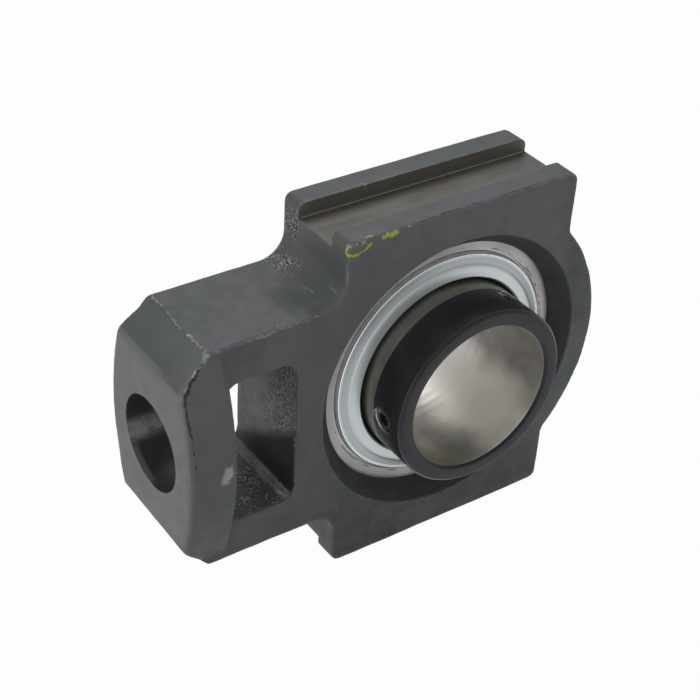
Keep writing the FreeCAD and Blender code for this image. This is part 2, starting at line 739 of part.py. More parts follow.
def make_grease_nipple(doc):
    hexagon_top = "dims.nipple_hex_height"
    neck_top = hexagon_top + " + dims.nipple_neck_length"
    head_top = "dims.nipple_length"
    neck = "dims.nipple_neck_diameter / 2"
    thread = "dims.nipple_thread_diameter / 2 - dims.nipple_thread_clearance"
    bore = "dims.nipple_bore_diameter / 2"
    mouth = "dims.nipple_mouth_diameter / 2"
    body = turned_body(doc, "grease_nipple", [
        (mouth, "-dims.nipple_thread_length"),
        (thread + " - dims.nipple_thread_edge", "-dims.nipple_thread_length"),
        (thread, "dims.nipple_thread_edge - dims.nipple_thread_length"),
        (thread, "0"),
        ("dims.nipple_hex / 2", "0"),
        ("dims.nipple_hex / 2", hexagon_top),
        (neck, hexagon_top),
        (neck, neck_top),
        ("dims.nipple_head_diameter / 2", neck_top + " + dims.nipple_head_length / 3"),
        ("dims.nipple_tip_diameter / 2", head_top),
        (mouth, head_top),
        (mouth, head_top + " - dims.nipple_mouth_length"),
        (bore, head_top + " - dims.nipple_mouth_length - (%s - %s)" % (bore, mouth)),
        (bore, "dims.nipple_mouth_length - dims.nipple_thread_length"),
        (mouth, "dims.nipple_mouth_length - dims.nipple_thread_length"),
    ])
    # Wrench hexagon round the waist, with a bore left open in it
    flats = add_sketch(body, "nipple_hex_outline", "XZ_Plane")
    add_outline(flats, hexagon("dims.nipple_hex"))
    add_circle(flats, "0", "0", neck)
    pad = add_feature(body, "Pad", "nipple_hex_pad", flats, Reversed=True)
    pad.setExpression("Length", hexagon_top)
    set_on_nose(body)
    return body


def make_check_ball(doc):
    # The ball closes the nipple's mouth from inside
    body = add_body(doc, "nipple_ball")
    ball = body.newObject("PartDesign::AdditiveSphere", "check_ball")
    ball.setExpression("Radius", "dims.check_ball_diameter / 2")
    ball.setExpression("Placement.Base.y", "dims.check_ball_reach")
    set_on_nose(body)
    return body


def make_check_spring(doc):
    # Coil spring between the crimped foot of the nipple and the ball
    wire = size(doc.dims, "spring_wire / 2")
    coil = size(doc.dims, "spring_diameter / 2") - wire
    foot = size(doc.dims, "nipple_mouth_length - nipple_thread_length + spring_clearance") + wire
    contact = size(doc.dims, "check_ball_diameter / 2 + spring_clearance") + wire
    top = size(doc.dims, "check_ball_reach") - math.sqrt(contact ** 2 - coil ** 2)
    helix = Part.makeHelix((top - foot) / size(doc.dims, "spring_turns"), top - foot, coil)
    start = FreeCAD.Vector(coil, 0, 0)
    section = Part.Wire(Part.Circle(start, FreeCAD.Vector(0, 1, 0), wire).toShape())
    spring = doc.addObject("Part::Feature", "nipple_spring")
    spring.Label = "nipple_spring"
    spring.Shape = Part.Wire(helix.Edges).makePipeShell([section], True, True)
    spring.Placement = FreeCAD.Placement(
        FreeCAD.Vector(size(doc.dims, "nipple_seat") + foot, size(doc.dims, "grease_offset"), 0),
        FreeCAD.Rotation(FreeCAD.Vector(0, 1, 0), 90),
    )
    return spring


def check_and_write(doc, pieces):
    doc.recompute()
    for item in doc.Objects:
        if {"Invalid", "Error"} & set(item.State):
            raise RuntimeError("%s failed: %s" % (item.Label, item.State))
    for piece in pieces:
        if piece.Shape.isNull() or not piece.Shape.isValid() or not piece.Shape.Solids:
            raise RuntimeError("%s has no valid solid" % piece.Label)
    os.makedirs("parts", exist_ok=True)
    for piece in pieces:
        piece.Shape.exportStep("parts/%s.step" % piece.Label)
        box = piece.Shape.BoundBox
        print("%-14s %d solid(s), %.1f x %.1f x %.1f mm, %.1f cm3" % (
            piece.Label, len(piece.Shape.Solids), box.XLength, box.YLength, box.ZLength, piece.Shape.Volume / 1000))


def main():
    doc = FreeCAD.newDocument("take_up_unit")
    make_sheet(doc)
    pieces = [make_housing(doc), make_outer_ring(doc), make_inner_ring(doc)]
    pieces += make_balls(doc)
    pieces += [make_cage_half(doc, "cage_front", "-"), make_cage_half(doc, "cage_rear", "")]
    pieces += [make_rivets(doc)]
    pieces += [make_shield(doc, "shield_front", "-"), make_shield(doc, "shield_rear", "")]
    pieces += [make_seal(doc, "seal_front", "-"), make_seal(doc, "seal_rear", "")]
    pieces += [make_set_screw(doc, "set_screw_1", "first_screw_angle")]
    pieces += [make_set_screw(doc, "set_screw_2", "second_screw_angle")]
    pieces += [make_grease_nipple(doc), make_check_ball(doc), make_check_spring(doc)]
    check_and_write(doc, pieces)


main()
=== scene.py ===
import math
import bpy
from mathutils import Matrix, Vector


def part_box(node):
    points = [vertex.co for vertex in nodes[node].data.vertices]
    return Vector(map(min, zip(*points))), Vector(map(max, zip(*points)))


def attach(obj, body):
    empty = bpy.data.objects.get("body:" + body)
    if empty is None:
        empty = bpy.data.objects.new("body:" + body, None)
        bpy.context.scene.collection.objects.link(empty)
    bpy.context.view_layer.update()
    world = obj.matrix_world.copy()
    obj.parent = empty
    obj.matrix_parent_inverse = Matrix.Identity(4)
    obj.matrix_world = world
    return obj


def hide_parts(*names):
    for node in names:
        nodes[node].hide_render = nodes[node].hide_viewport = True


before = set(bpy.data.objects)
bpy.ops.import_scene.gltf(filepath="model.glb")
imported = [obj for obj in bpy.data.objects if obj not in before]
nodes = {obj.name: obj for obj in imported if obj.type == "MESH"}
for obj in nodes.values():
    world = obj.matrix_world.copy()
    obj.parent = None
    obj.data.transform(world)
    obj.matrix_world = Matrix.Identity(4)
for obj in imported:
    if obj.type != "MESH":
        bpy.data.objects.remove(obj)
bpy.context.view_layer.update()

from types import SimpleNamespace

import bpy
from mathutils import Matrix, Vector

mm = 0.001
seamGap = 0.00001        # points of a seam that lie closer than this are one
shaftAxis = (0, 1, 0)        # the take up direction is X, and up is Z


# Small modelling helpers

def deselectAll():
    if bpy.context.mode != "OBJECT":
        bpy.ops.object.mode_set(mode="OBJECT")
    bpy.ops.object.select_all(action="DESELECT")


def pickOnly(piece):
    deselectAll()
    piece.select_set(True)
    bpy.context.view_layer.objects.active = piece


def editAll(piece):
    pickOnly(piece)
    bpy.ops.object.mode_set(mode="EDIT")
    bpy.ops.mesh.select_all(action="SELECT")


def applyModifier(piece, kind, **settings):
    pickOnly(piece)
    modifier = piece.modifiers.new(kind.lower(), kind)
    for key, setting in settings.items():
        setattr(modifier, key, setting)
    bpy.ops.object.modifier_apply(modifier=modifier.name)


def smoothFaces(piece, degrees):
    pickOnly(piece)
    bpy.ops.object.shade_smooth_by_angle(angle=math.radians(degrees))


def startOutline(name, corners, rounding):
    # A flat ring of points in the XY plane: radius along X, place along the shaft as Y
    deselectAll()
    bpy.ops.mesh.primitive_circle_add(vertices=len(corners), radius=0.01)
    piece = bpy.context.object
    piece.name = name
    for vertex, corner in zip(piece.data.vertices, corners):
        vertex.co = (corner[0] * mm, corner[1] * mm, 0)
    if rounding:
        editAll(piece)
        bpy.ops.mesh.bevel(offset=rounding * mm, segments=3, affect="VERTICES", clamp_overlap=True)
        bpy.ops.object.mode_set(mode="OBJECT")
    return piece


def spinOutline(piece, steps):
    # Turn the outline once round the shaft's axis and close the seam
    editAll(piece)
    bpy.ops.mesh.spin(steps=steps, angle=2 * math.pi, center=(0, 0, 0), axis=shaftAxis)
    bpy.ops.mesh.select_all(action="SELECT")
    bpy.ops.mesh.remove_doubles(threshold=seamGap)
    bpy.ops.mesh.normals_make_consistent(inside=False)
    bpy.ops.object.mode_set(mode="OBJECT")
    return piece


def cutWith(piece, cutter):
    applyModifier(piece, "BOOLEAN", operation="DIFFERENCE", object=cutter, solver="EXACT")
    deselectAll()
    cutter.select_set(True)
    bpy.ops.object.delete()


def threadedRod(name, rod):
    # A rod along Z with a thread round it: rings are drawn out one by one, then follow the helix
    deselectAll()
    bpy.ops.mesh.primitive_circle_add(vertices=rod["sides"], radius=rod["crest"] * mm, fill_type="NGON")
    piece = bpy.context.object
    piece.name = name
    piece.data.transform(Matrix.Translation((0, 0, rod["foot"] * mm)))
    editAll(piece)
    rows = math.ceil((rod["top"] - rod["foot"]) / (rod["pitch"] / rod["rowsPerTurn"]))
    rise = (rod["top"] - rod["foot"]) / rows
    for row in range(rows):
        bpy.ops.mesh.extrude_region_move(TRANSFORM_OT_translate={"value": (0, 0, rise * mm)})
    bpy.ops.mesh.select_all(action="SELECT")
    bpy.ops.mesh.normals_make_consistent(inside=False)
    bpy.ops.object.mode_set(mode="OBJECT")
    for vertex in piece.data.vertices:
        across = math.hypot(vertex.co.x, vertex.co.y)
        if across < 0.1 * mm:
            continue
        turn = math.atan2(vertex.co.y, vertex.co.x) / (2 * math.pi)
        height = vertex.co.z / mm
        phase = (height / rod["pitch"] - turn) % 1
        depth = abs(2 * phase - 1) * rod["depth"]
        fromTop = max(0, (rod["top"] - height) / rod["runOut"])
        fromFoot = max(0, (height - rod["foot"]) / rod["runOut"])
        cut = min(1, fromTop, fromFoot)        # the thread runs out at both ends
        radius = rod["crest"] - depth * cut - rod["endEdge"] * (1 - cut)
        vertex.co.x *= radius * mm / across
        vertex.co.y *= radius * mm / across
    return piece


def aimFromShaft(piece, along, degrees):
    # A piece made along Z is laid out from the shaft's axis at an angle above +X
    outward = Matrix.Rotation(math.radians(90 - degrees), 4, "Y")
    piece.data.transform(Matrix.Translation((0, along * mm, 0)) @ outward)
    piece.data.update()


# Small node helpers

def addNode(tree, kind, **settings):
    node = tree.nodes.new("ShaderNode" + kind)
    for key, setting in settings.items():
        setattr(node, key, setting)
    return node


def feed(tree, socket, source):
    if isinstance(source, bpy.types.NodeSocket):
        tree.links.new(source, socket)
    else:
        socket.default_value = source


def calc(tree, operation, first, second=None, clamp=False):
    node = addNode(tree, "Math", operation=operation, use_clamp=clamp)
    feed(tree, node.inputs[0], first)
    if second is not None:
        feed(tree, node.inputs[1], second)
    return node.outputs[0]


def scaled(tree, value, factor):
    return calc(tree, "MULTIPLY", value, factor)


def larger(tree, first, second):
    return calc(tree, "MAXIMUM", first, second)


def both(tree, *masks):
    product = masks[0]
    for mask in masks[1:]:
        product = calc(tree, "MULTIPLY", product, mask)
    return product


def vectorCalc(tree, operation, first, second=None, scale=None):
    node = addNode(tree, "VectorMath", operation=operation)
    feed(tree, node.inputs[0], first)
    if second is not None:
        feed(tree, node.inputs[1], second)
    if scale is not None:
        feed(tree, node.inputs["Scale"], scale)
    return node.outputs["Value" if operation in ("DOT_PRODUCT", "DISTANCE") else "Vector"]


def ease(tree, value, low, high, outLow=0.0, outHigh=1.0):
    # A smooth step stays inside its limits, so the node's own clamp is left off
    node = addNode(tree, "MapRange", interpolation_type="SMOOTHSTEP", clamp=False)
    feed(tree, node.inputs["Value"], value)
    feed(tree, node.inputs["From Min"], low)
    feed(tree, node.inputs["From Max"], high)
    feed(tree, node.inputs["To Min"], outLow)
    feed(tree, node.inputs["To Max"], outHigh)
    return node.outputs["Result"]


def fadeOut(tree, value, low, high):
    return ease(tree, value, low, high, 1.0, 0.0)


def between(tree, value, low, high, soft):
    rising = ease(tree, value, low - soft, low + soft)
    falling = fadeOut(tree, value, high - soft, high + soft)
    return calc(tree, "MULTIPLY", rising, falling)


def noise(tree, place, scale, detail=2.0, roughness=0.5):
    node = addNode(tree, "TexNoise", noise_dimensions="3D")
    feed(tree, node.inputs["Vector"], place)
    feed(tree, node.inputs["Scale"], scale)
    node.inputs["Detail"].default_value = detail
    node.inputs["Roughness"].default_value = roughness
    return node.outputs["Fac"]


def moved(tree, place, offset):
    return vectorCalc(tree, "ADD", place, offset)


def blendColour(tree, mask, first, second):
    node = addNode(tree, "Mix", data_type="RGBA")
    feed(tree, node.inputs["Factor"], mask)
    feed(tree, node.inputs[6], first)
    feed(tree, node.inputs[7], second)
    return node.outputs[2]


def colour(red, green, blue):
    return (red, green, blue, 1.0)


def objectPlace(tree):
    return addNode(tree, "TexCoord").outputs["Object"]


def splitPlace(tree, place):
    node = addNode(tree, "SeparateXYZ")
    feed(tree, node.inputs[0], place)
    return node.outputs


def lengthOf(tree, first, second):
    squares = calc(tree, "ADD", calc(tree, "POWER", first, 2.0), calc(tree, "POWER", second, 2.0))
    return calc(tree, "SQRT", squares)


def shaftRadius(tree, place):
    # Distance from the shaft's axis
    part = splitPlace(tree, place)
    return lengthOf(tree, part[0], part[2])


def startGroup(name, inputs, outputs):
    tree = bpy.data.node_groups.new(name, "ShaderNodeTree")
    for label, kind, start in inputs:
        socket = tree.interface.new_socket(name=label, in_out="INPUT", socket_type="NodeSocket" + kind)
        if start is not None:
            socket.default_value = start
    for label, kind in outputs:
        tree.interface.new_socket(name=label, in_out="OUTPUT", socket_type="NodeSocket" + kind)
    given = tree.nodes.new("NodeGroupInput").outputs
    result = tree.nodes.new("NodeGroupOutput").inputs
    return tree, given, result


def useGroup(tree, group, **values):
    node = tree.nodes.new("ShaderNodeGroup")
    node.node_tree = group
    for label, source in values.items():
        feed(tree, node.inputs[label], source)
    return node.outputs


def startMaterial(name):
    material = bpy.data.materials.new(name)
    material.use_nodes = True
    tree = material.node_tree
    return material, tree, tree.nodes["Principled BSDF"]


def bumpFrom(tree, height, strength, distance):
    node = addNode(tree, "Bump")
    node.inputs["Strength"].default_value = strength
    node.inputs["Distance"].default_value = distance
    feed(tree, node.inputs["Height"], height)
    return node.outputs["Normal"]


def wear(piece, material):
    piece.data.materials.clear()
    piece.data.materials.append(material)


# Effects that several materials share

def makeCastGrit():
    # Sand cast skin: fine pits and grains on a soft, uneven ground
    tree, given, result = startGroup(
        "castGrit",
        [("Place", "Vector", None), ("Grain", "Float", 900.0), ("Density", "Float", 0.5)],
        [("Speckle", "Float"), ("Height", "Float")],
    )
    fine = noise(tree, given["Place"], given["Grain"], 3.0, 0.6)
    coarse = noise(tree, given["Place"], scaled(tree, given["Grain"], 0.28), 3.0, 0.55)
    rim = calc(tree, "SUBTRACT", 0.82, scaled(tree, given["Density"], 0.3))
    speckle = ease(tree, fine, rim, calc(tree, "ADD", rim, 0.08))
    height = calc(tree, "ADD", scaled(tree, fine, 0.55), scaled(tree, coarse, 0.45))
    tree.links.new(speckle, result["Speckle"])
    tree.links.new(height, result["Height"])
    return tree


def makeEdgeWear():
    # Paint rubbed thin along the edges that stand out
    tree, given, result = startGroup(
        "edgeWear",
        [
            ("Place", "Vector", None), ("Start", "Float", 0.52), ("Full", "Float", 0.56),
            ("Broken", "Float", 0.5),
        ],
        [("Mask", "Float")],
    )
    pointiness = addNode(tree, "NewGeometry").outputs["Pointiness"]
    sharp = ease(tree, pointiness, given["Start"], given["Full"])
    patches = noise(tree, given["Place"], 260.0, 4.0, 0.65)
    gap = scaled(tree, given["Broken"], 0.8)
    kept = ease(tree, patches, gap, calc(tree, "ADD", gap, 0.22))
    tree.links.new(calc(tree, "MULTIPLY", sharp, kept), result["Mask"])
    return tree


def makeNearLine():
    # Mask round the straight line between two points, with a ragged border
    tree, given, result = startGroup(
        "nearLine",
        [
            ("Place", "Vector", None), ("Start", "Vector", (0, 0, 0)), ("End", "Vector", (0, 0, 1)),
            ("HalfWidth", "Float", 0.001), ("Ragged", "Float", 0.0), ("Soft", "Float", 0.4),
        ],
        [("Mask", "Float")],
    )
    along = vectorCalc(tree, "SUBTRACT", given["End"], given["Start"])
    reach = vectorCalc(tree, "SUBTRACT", given["Place"], given["Start"])
    covered = vectorCalc(tree, "DOT_PRODUCT", reach, along)
    share = calc(tree, "DIVIDE", covered, vectorCalc(tree, "DOT_PRODUCT", along, along))
    share = calc(tree, "MINIMUM", calc(tree, "MAXIMUM", share, 0.0), 1.0)
    nearest = vectorCalc(tree, "SCALE", along, scale=share)
    away = vectorCalc(tree, "DISTANCE", reach, nearest)
    edge = calc(tree, "ADD", away, given["Ragged"])
    inner = calc(tree, "MULTIPLY", given["HalfWidth"], calc(tree, "SUBTRACT", 1.0, given["Soft"]))
    tree.links.new(fadeOut(tree, edge, inner, given["HalfWidth"]), result["Mask"])
    return tree


def makeLatheLines():
    # Fine rings that a turning tool leaves, seen by their radius and their place along the shaft
    tree, given, result = startGroup(
        "latheLines",
        [("Place", "Vector", None), ("Pitch", "Float", 0.0004)],
        [("Height", "Float"), ("Tone", "Float")],
    )
    part = splitPlace(tree, given["Place"])
    radius = shaftRadius(tree, given["Place"])
    turned = calc(tree, "DIVIDE", calc(tree, "ADD", radius, part[1]), given["Pitch"])
    lines = addNode(tree, "TexNoise", noise_dimensions="1D")
    feed(tree, lines.inputs["W"], turned)
    lines.inputs["Scale"].default_value = 1.0
    lines.inputs["Detail"].default_value = 3.0
    broad = addNode(tree, "TexNoise", noise_dimensions="1D")
    feed(tree, broad.inputs["W"], scaled(tree, turned, 0.12))
    broad.inputs["Scale"].default_value = 1.0
    tree.links.new(lines.outputs["Fac"], result["Height"])
    tree.links.new(broad.outputs["Fac"], result["Tone"])
    return tree


castGrit = makeCastGrit()
edgeWear = makeEdgeWear()
nearLine = makeNearLine()
latheLines = makeLatheLines()
print("shared effects ready")


# The cast frame's paint, bare places and marks

castPaint = {
    "teal": colour(0.064, 0.080, 0.078), "grey": colour(0.088, 0.095, 0.095),
    "violet": colour(0.093, 0.093, 0.106), "greenShade": colour(0.050, 0.066, 0.063),
    "endFace": colour(0.158, 0.158, 0.157), "endBevel": colour(0.112, 0.122, 0.122),
    "frontLight": colour(0.132, 0.142, 0.142), "facet": colour(0.126, 0.130, 0.123),
    "grime": colour(0.016, 0.017, 0.016), "dim": colour(0.026, 0.033, 0.033),
    "speck": colour(0.26, 0.27, 0.255), "worn": colour(0.21, 0.215, 0.205),
    "grainLight": colour(0.40, 0.39, 0.37), "grainDark": colour(0.011, 0.011, 0.011),
    "wallDark": colour(0.10, 0.098, 0.09), "wallLight": colour(0.24, 0.236, 0.222),
    "floorDark": colour(0.028, 0.026, 0.024), "floorLight": colour(0.056, 0.052, 0.047),
    "shade": colour(0.005, 0.005, 0.005), "oiledOlive": colour(0.045, 0.045, 0.032),
    "oiledDark": colour(0.080, 0.075, 0.063), "oiledLight": colour(0.128, 0.119, 0.104),
    "oiledWall": colour(0.110, 0.108, 0.094), "seat": colour(0.021, 0.022, 0.021),
    "bore": colour(0.026, 0.031, 0.031), "boreBand": colour(0.31, 0.33, 0.325),
    "mouth": colour(0.15, 0.16, 0.155), "ridge": colour(0.34, 0.36, 0.345),
    "crack": colour(0.010, 0.011, 0.011), "chip": colour(0.48, 0.49, 0.47),
    "yellow": colour(0.46, 0.52, 0.05), "olive": colour(0.16, 0.175, 0.04),
    "scratch": colour(0.40, 0.41, 0.33), "corner": colour(0.36, 0.34, 0.22),
}
# Where a surface starts and where it is full, in metres; a third value is how soft both ends are
castPlaces = {
    "grooveTop": (0.0755, 0.0760), "grooveSide": (0.0123, 0.0126), "grooveWall": (0.0771, 0.0775),
    "windowAlong": (-0.1143, -0.0797, 0.0003), "windowHeight": (0.0360, 0.0364),
    "windowDepth": (0.0226, 0.0236), "boreRadius": (0.0213, 0.0216), "boreBack": (-0.1142, -0.1138),
    "seatRadius": (0.0668, 0.0673), "endFace": (-0.1347, -0.1343), "endTopAlong": (-0.1326, -0.1340),
    "endTopAcross": (-0.022, -0.002), "endTopHeight": (0.030, 0.036),
    "bevelAlong": (-0.1225, -0.1215), "bevelHeight": (0.035, 0.048),
    "lowFront": (-0.085, -0.018), "frontSkin": (-0.0235, -0.0225), "noseFade": (0.050, 0.085),
    "frontFace": (-0.0225, -0.0235), "flankAcross": (-0.0236, -0.0243), "flankHeight": (-0.012, 0.022),
    "facetStart": (-0.1155, -0.1167), "facetEnd": (-0.1343, -0.1330),
    "besideFacet": (-0.1160, -0.0960, 0.0006), "besideHeight": (0.034, 0.048),
    "noseAlong": (0.050, 0.062), "noseHeight": (-0.012, 0.016),
    "rearAcross": (0.0075, 0.0125), "flangeEnd": (-0.0573, -0.0577),
    "flangeHeight": (0.0655, 0.0795, 0.0025), "filletAcross": (0.005, 0.0245, 0.003),
    "filletAlong": (-0.0690, -0.0610, 0.0016), "filletHeight": (0.0535, 0.0610, 0.001),
    "wallAcross": (-0.010, 0.006), "wallStart": (-0.083, -0.0822), "wallSkin": (-0.0832, -0.0824),
    "topAlong": (-0.098, -0.068, 0.008), "topAcross": (-0.002, -0.014), "topHeight": (0.0532, 0.0538),
    "oilLine": (-0.0205, -0.0110), "oilFoot": (-0.0335, -0.0320), "oilAcross": (0.004, 0.020),
    "footAlong": (-0.0860, -0.0848), "footHeight": (-0.0356, -0.0330, 0.0003),
    "oliveAcross": (0.003, 0.0105), "bandHeight": (-0.0110, -0.0030, 0.0024),
    "bandAcross": (0.008, 0.014), "mouthAlong": (-0.1316, -0.1332), "mouthSide": (0.0165, 0.0208),
}
# Marks in the order they lie on the paint: lines from point to point, each with its half width, in mm
castMarks = {
    "dim": {
        "lines": [((-77.5, -3.0, 54.5), (-71.0, -20.0, 54.5), 9.0)],
        "ragged": 8.0, "grain": 110.0, "soft": 1.0, "strength": 0.6, "paint": "dim",
    },
    "faint": {
        "lines": [
            ((-66.1, -0.1, 55.4), (-65.5, -10.3, 55.8), 0.7),
            ((-60.7, -13.9, 60.3), (-60.9, -19.7, 60.0), 0.6),
        ],
        "ragged": 1.6, "grain": 500.0, "soft": 0.8, "strength": 0.35, "paint": "speck",
    },
    # A raised ridge along the end wall's front edge, with a painted highlight along it
    "ridge": {
        "lines": [
            ((-124.5, -24.0, 49.3), (-127.8, -24.4, 47.3), 0.65),
            ((-127.8, -24.4, 47.3), (-130.8, -24.5, 45.0), 0.6),
            ((-130.8, -24.5, 45.0), (-134.1, -25.6, 41.0), 0.5),
            ((-134.1, -25.6, 41.0), (-134.8, -27.0, 34.4), 0.4),
        ],
        "ragged": 0.5, "grain": 500.0, "soft": 0.6, "strength": 0.8, "paint": "ridge",
    },
    # Painted highlights along the edges, broken into light specks
    "edges": {
        "lines": [
            ((-121.0, 24.0, 54.4), (-121.1, 14.0, 54.4), 0.55),
            ((-121.3, 9.0, 54.3), (-121.9, -6.0, 54.2), 0.5),
            ((-121.6, -9.5, 54.3), (-121.5, -20.0, 54.2), 0.6),
            ((-121.7, -22.0, 53.9), (-123.2, -24.0, 50.8), 1.1),
            ((-119.0, -23.8, 53.7), (-103.0, -23.7, 53.8), 0.45),
            ((-101.0, -23.7, 53.8), (-88.0, -23.5, 53.9), 0.6),
            ((-86.0, -23.5, 54.0), (-70.0, -23.4, 54.1), 0.4),
            ((56.5, -23.0, 82.6), (58.4, -22.8, 79.0), 0.9),
            ((-80.9, -22.9, 31.0), (-80.8, -22.9, -8.0), 0.5),
            ((-58.6, -23.2, 74.0), (-58.6, -23.2, 66.0), 0.5),
        ],
        "ragged": 2.6, "grain": 620.0, "soft": 0.5, "strength": 0.65, "paint": "speck",
    },
    "lip": {
        "lines": [
            ((-24.0, -22.9, 83.4), (20.0, -22.9, 83.4), 0.3),
            ((22.0, -22.8, 83.4), (50.0, -22.8, 83.4), 0.28),
        ],
        "ragged": 0.9, "grain": 330.0, "soft": 0.4, "strength": 0.75, "paint": "crack",
    },
    "crack": {
        "lines": [
            ((-125.4, -24.2, 48.4), (-127.7, -25.0, 46.2), 0.55),
            ((-127.7, -25.0, 46.2), (-129.9, -25.8, 44.2), 0.75),
            ((-129.9, -25.8, 44.2), (-133.2, -27.2, 40.0), 0.95),
            ((-133.2, -27.2, 40.0), (-133.7, -29.2, 32.7), 0.7),
            ((-133.7, -29.2, 32.7), (-133.3, -31.2, 24.8), 0.6),
            ((-133.3, -31.2, 24.8), (-132.9, -32.8, 16.3), 0.5),
            ((-132.9, -32.8, 16.3), (-132.7, -33.6, 8.9), 0.28),
            ((-132.2, -27.6, 40.6), (-129.6, -28.1, 38.6), 0.3),
        ],
        "ragged": 1.1, "grain": 380.0, "soft": 0.5, "strength": 0.95, "paint": "crack",
    },
    "corner": {
        "lines": [((-57.5, 12.0, 76.9), (57.5, 12.0, 76.9), 0.5)],
        "ragged": 0.35, "grain": 200.0, "soft": 0.5, "strength": 0.8, "paint": "corner", "straight": True,
    },
    "chip": {
        "lines": [((-119.3, -34.0, -1.9), (-118.0, -34.0, 2.6), 3.2)],
        "ragged": 2.6, "grain": 330.0, "soft": 0.8, "strength": 0.85, "paint": "chip",
    },
    "haze": {
        "lines": [((-57.4, -24.0, 79.6), (-49.6, -24.0, 80.4), 2.4)],
        "ragged": 2.0, "grain": 300.0, "soft": 0.9, "strength": 0.45, "paint": "olive",
    },
    "yellow": {
        "lines": [
            ((-58.9, -22.4, 80.6), (-58.8, -22.8, 78.4), 0.95),
            ((-58.8, -22.8, 78.4), (-57.2, -23.9, 77.6), 1.0),
            ((-57.2, -24.0, 77.8), (-53.6, -24.0, 78.1), 0.85),
            ((-53.6, -24.0, 78.1), (-49.8, -24.0, 78.8), 0.8),
            ((-49.8, -24.0, 78.8), (-48.5, -23.9, 81.4), 0.75),
            ((-42.3, -24.0, 82.0), (-36.0, -23.9, 82.4), 1.35),
            ((-35.0, -23.9, 82.3), (-30.2, -23.9, 82.6), 0.35),
        ],
        "ragged": 3.0, "grain": 900.0, "soft": 0.7, "strength": 0.9, "paint": "yellow",
    },
    "scratch": {
        "lines": [
            ((-58.6, -22.4, 81.7), (-50.6, -23.8, 82.5), 0.85),
            ((-49.8, -22.6, 83.5), (-45.2, -22.6, 83.5), 0.4),
            ((-121.8, -23.6, 53.5), (-122.9, -24.1, 51.2), 0.95),
            ((-126.8, -24.0, 48.4), (-127.8, -24.4, 47.2), 0.55),
            ((-121.6, -8.0, 54.3), (-121.5, -9.4, 54.3), 0.5),
            ((55.5, -22.9, 83.0), (58.2, -23.0, 81.4), 0.7),
            ((-27.8, 14.2, 83.5), (-26.4, 12.3, 83.5), 0.35),
            ((-26.4, 12.0, 83.4), (-26.4, 12.0, 81.9), 0.4),
            ((-84.6, -17.0, -34.8), (-83.5, -22.8, -34.6), 0.65),
            ((-30.0, -23.6, 83.0), (-28.0, -23.6, 83.0), 0.5),
        ],
        "ragged": 3.4, "grain": 1100.0, "soft": 0.4, "strength": 0.85, "paint": "scratch",
    },
}


def coat(tree, body, mask, paint):
    return blendColour(tree, mask, body, castPaint[paint])


def findCastSpots(tree, place):
    # Where each surface of the casting lies
    p = castPlaces
    x, y, z = splitPlace(tree, place)
    lift = calc(tree, "ABSOLUTE", z)
    reach = shaftRadius(tree, place)
    sideways = calc(tree, "ABSOLUTE", y)
    spot = SimpleNamespace(place=place, x=x, y=y, z=z)
    spot.inGroove = both(tree, ease(tree, lift, *p["grooveTop"]), fadeOut(tree, sideways, *p["grooveSide"]))
    spot.grooveWall = both(tree, spot.inGroove, ease(tree, lift, *p["grooveWall"]))
    spot.inWindow = both(
        tree, between(tree, x, *p["windowAlong"]), fadeOut(tree, lift, *p["windowHeight"]),
        fadeOut(tree, sideways, *p["windowDepth"]),
    )
    boreReach = lengthOf(tree, y, z)
    spot.inBore = both(tree, fadeOut(tree, boreReach, *p["boreRadius"]), fadeOut(tree, x, *p["boreBack"]))
    spot.onSeat = fadeOut(tree, reach, *p["seatRadius"])
    # Where the painted light of the end face, the top of its bevel and the bevel falls
    onEnd = fadeOut(tree, x, *p["endFace"])
    endTop = both(
        tree, ease(tree, x, *p["endTopAlong"]), ease(tree, y, *p["endTopAcross"]),
        ease(tree, z, *p["endTopHeight"]),
    )
    spot.onEnd = larger(tree, onEnd, endTop)
    spot.onBevel = both(tree, fadeOut(tree, x, *p["bevelAlong"]), ease(tree, z, *p["bevelHeight"]))
    spot.lowFront = both(
        tree, fadeOut(tree, z, *p["lowFront"]), fadeOut(tree, y, *p["frontSkin"]),
        fadeOut(tree, x, *p["noseFade"]),
    )
    return spot


def paintSkin(tree, spot):
    # Paint over the cast skin, which turns from green to violet grey
    slow = noise(tree, moved(tree, spot.place, (0.4, 0.1, 0.7)), 21.0, 3.0, 0.5)
    hue = noise(tree, moved(tree, spot.place, (0.9, 0.3, 0.2)), 27.0, 2.0, 0.5)
    spot.mottled = noise(tree, spot.place, 150.0, 4.0, 0.6)
    tone = calc(tree, "ADD", scaled(tree, slow, 0.72), scaled(tree, spot.mottled, 0.28))
    light = blendColour(tree, ease(tree, hue, 0.46, 0.62), castPaint["grey"], castPaint["violet"])
    body = blendColour(tree, ease(tree, tone, 0.38, 0.60), castPaint["teal"], light)
    # Painted light on the end face, the top of its bevel and the bevel
    body = coat(tree, body, both(tree, spot.onEnd, ease(tree, tone, 0.25, 0.6, 0.75, 1.0)), "endFace")
    body = coat(tree, body, both(tree, spot.onBevel, ease(tree, tone, 0.3, 0.6, 0.25, 0.9)), "endBevel")
    # Darker towards the bottom of the front
    body = coat(tree, body, both(tree, spot.lowFront, ease(tree, slow, 0.35, 0.65, 0.90, 0.72)), "grime")
    # Painted light on the upper front faces
    highFront = both(
        tree, ease(tree, spot.y, *castPlaces["frontFace"]), calc(tree, "SUBTRACT", 1.0, spot.lowFront),
        ease(tree, tone, 0.3, 0.6, 0.25, 0.6),
    )
    body = coat(tree, body, highFront, "frontLight")
    return shadeFlank(tree, spot, body, tone)


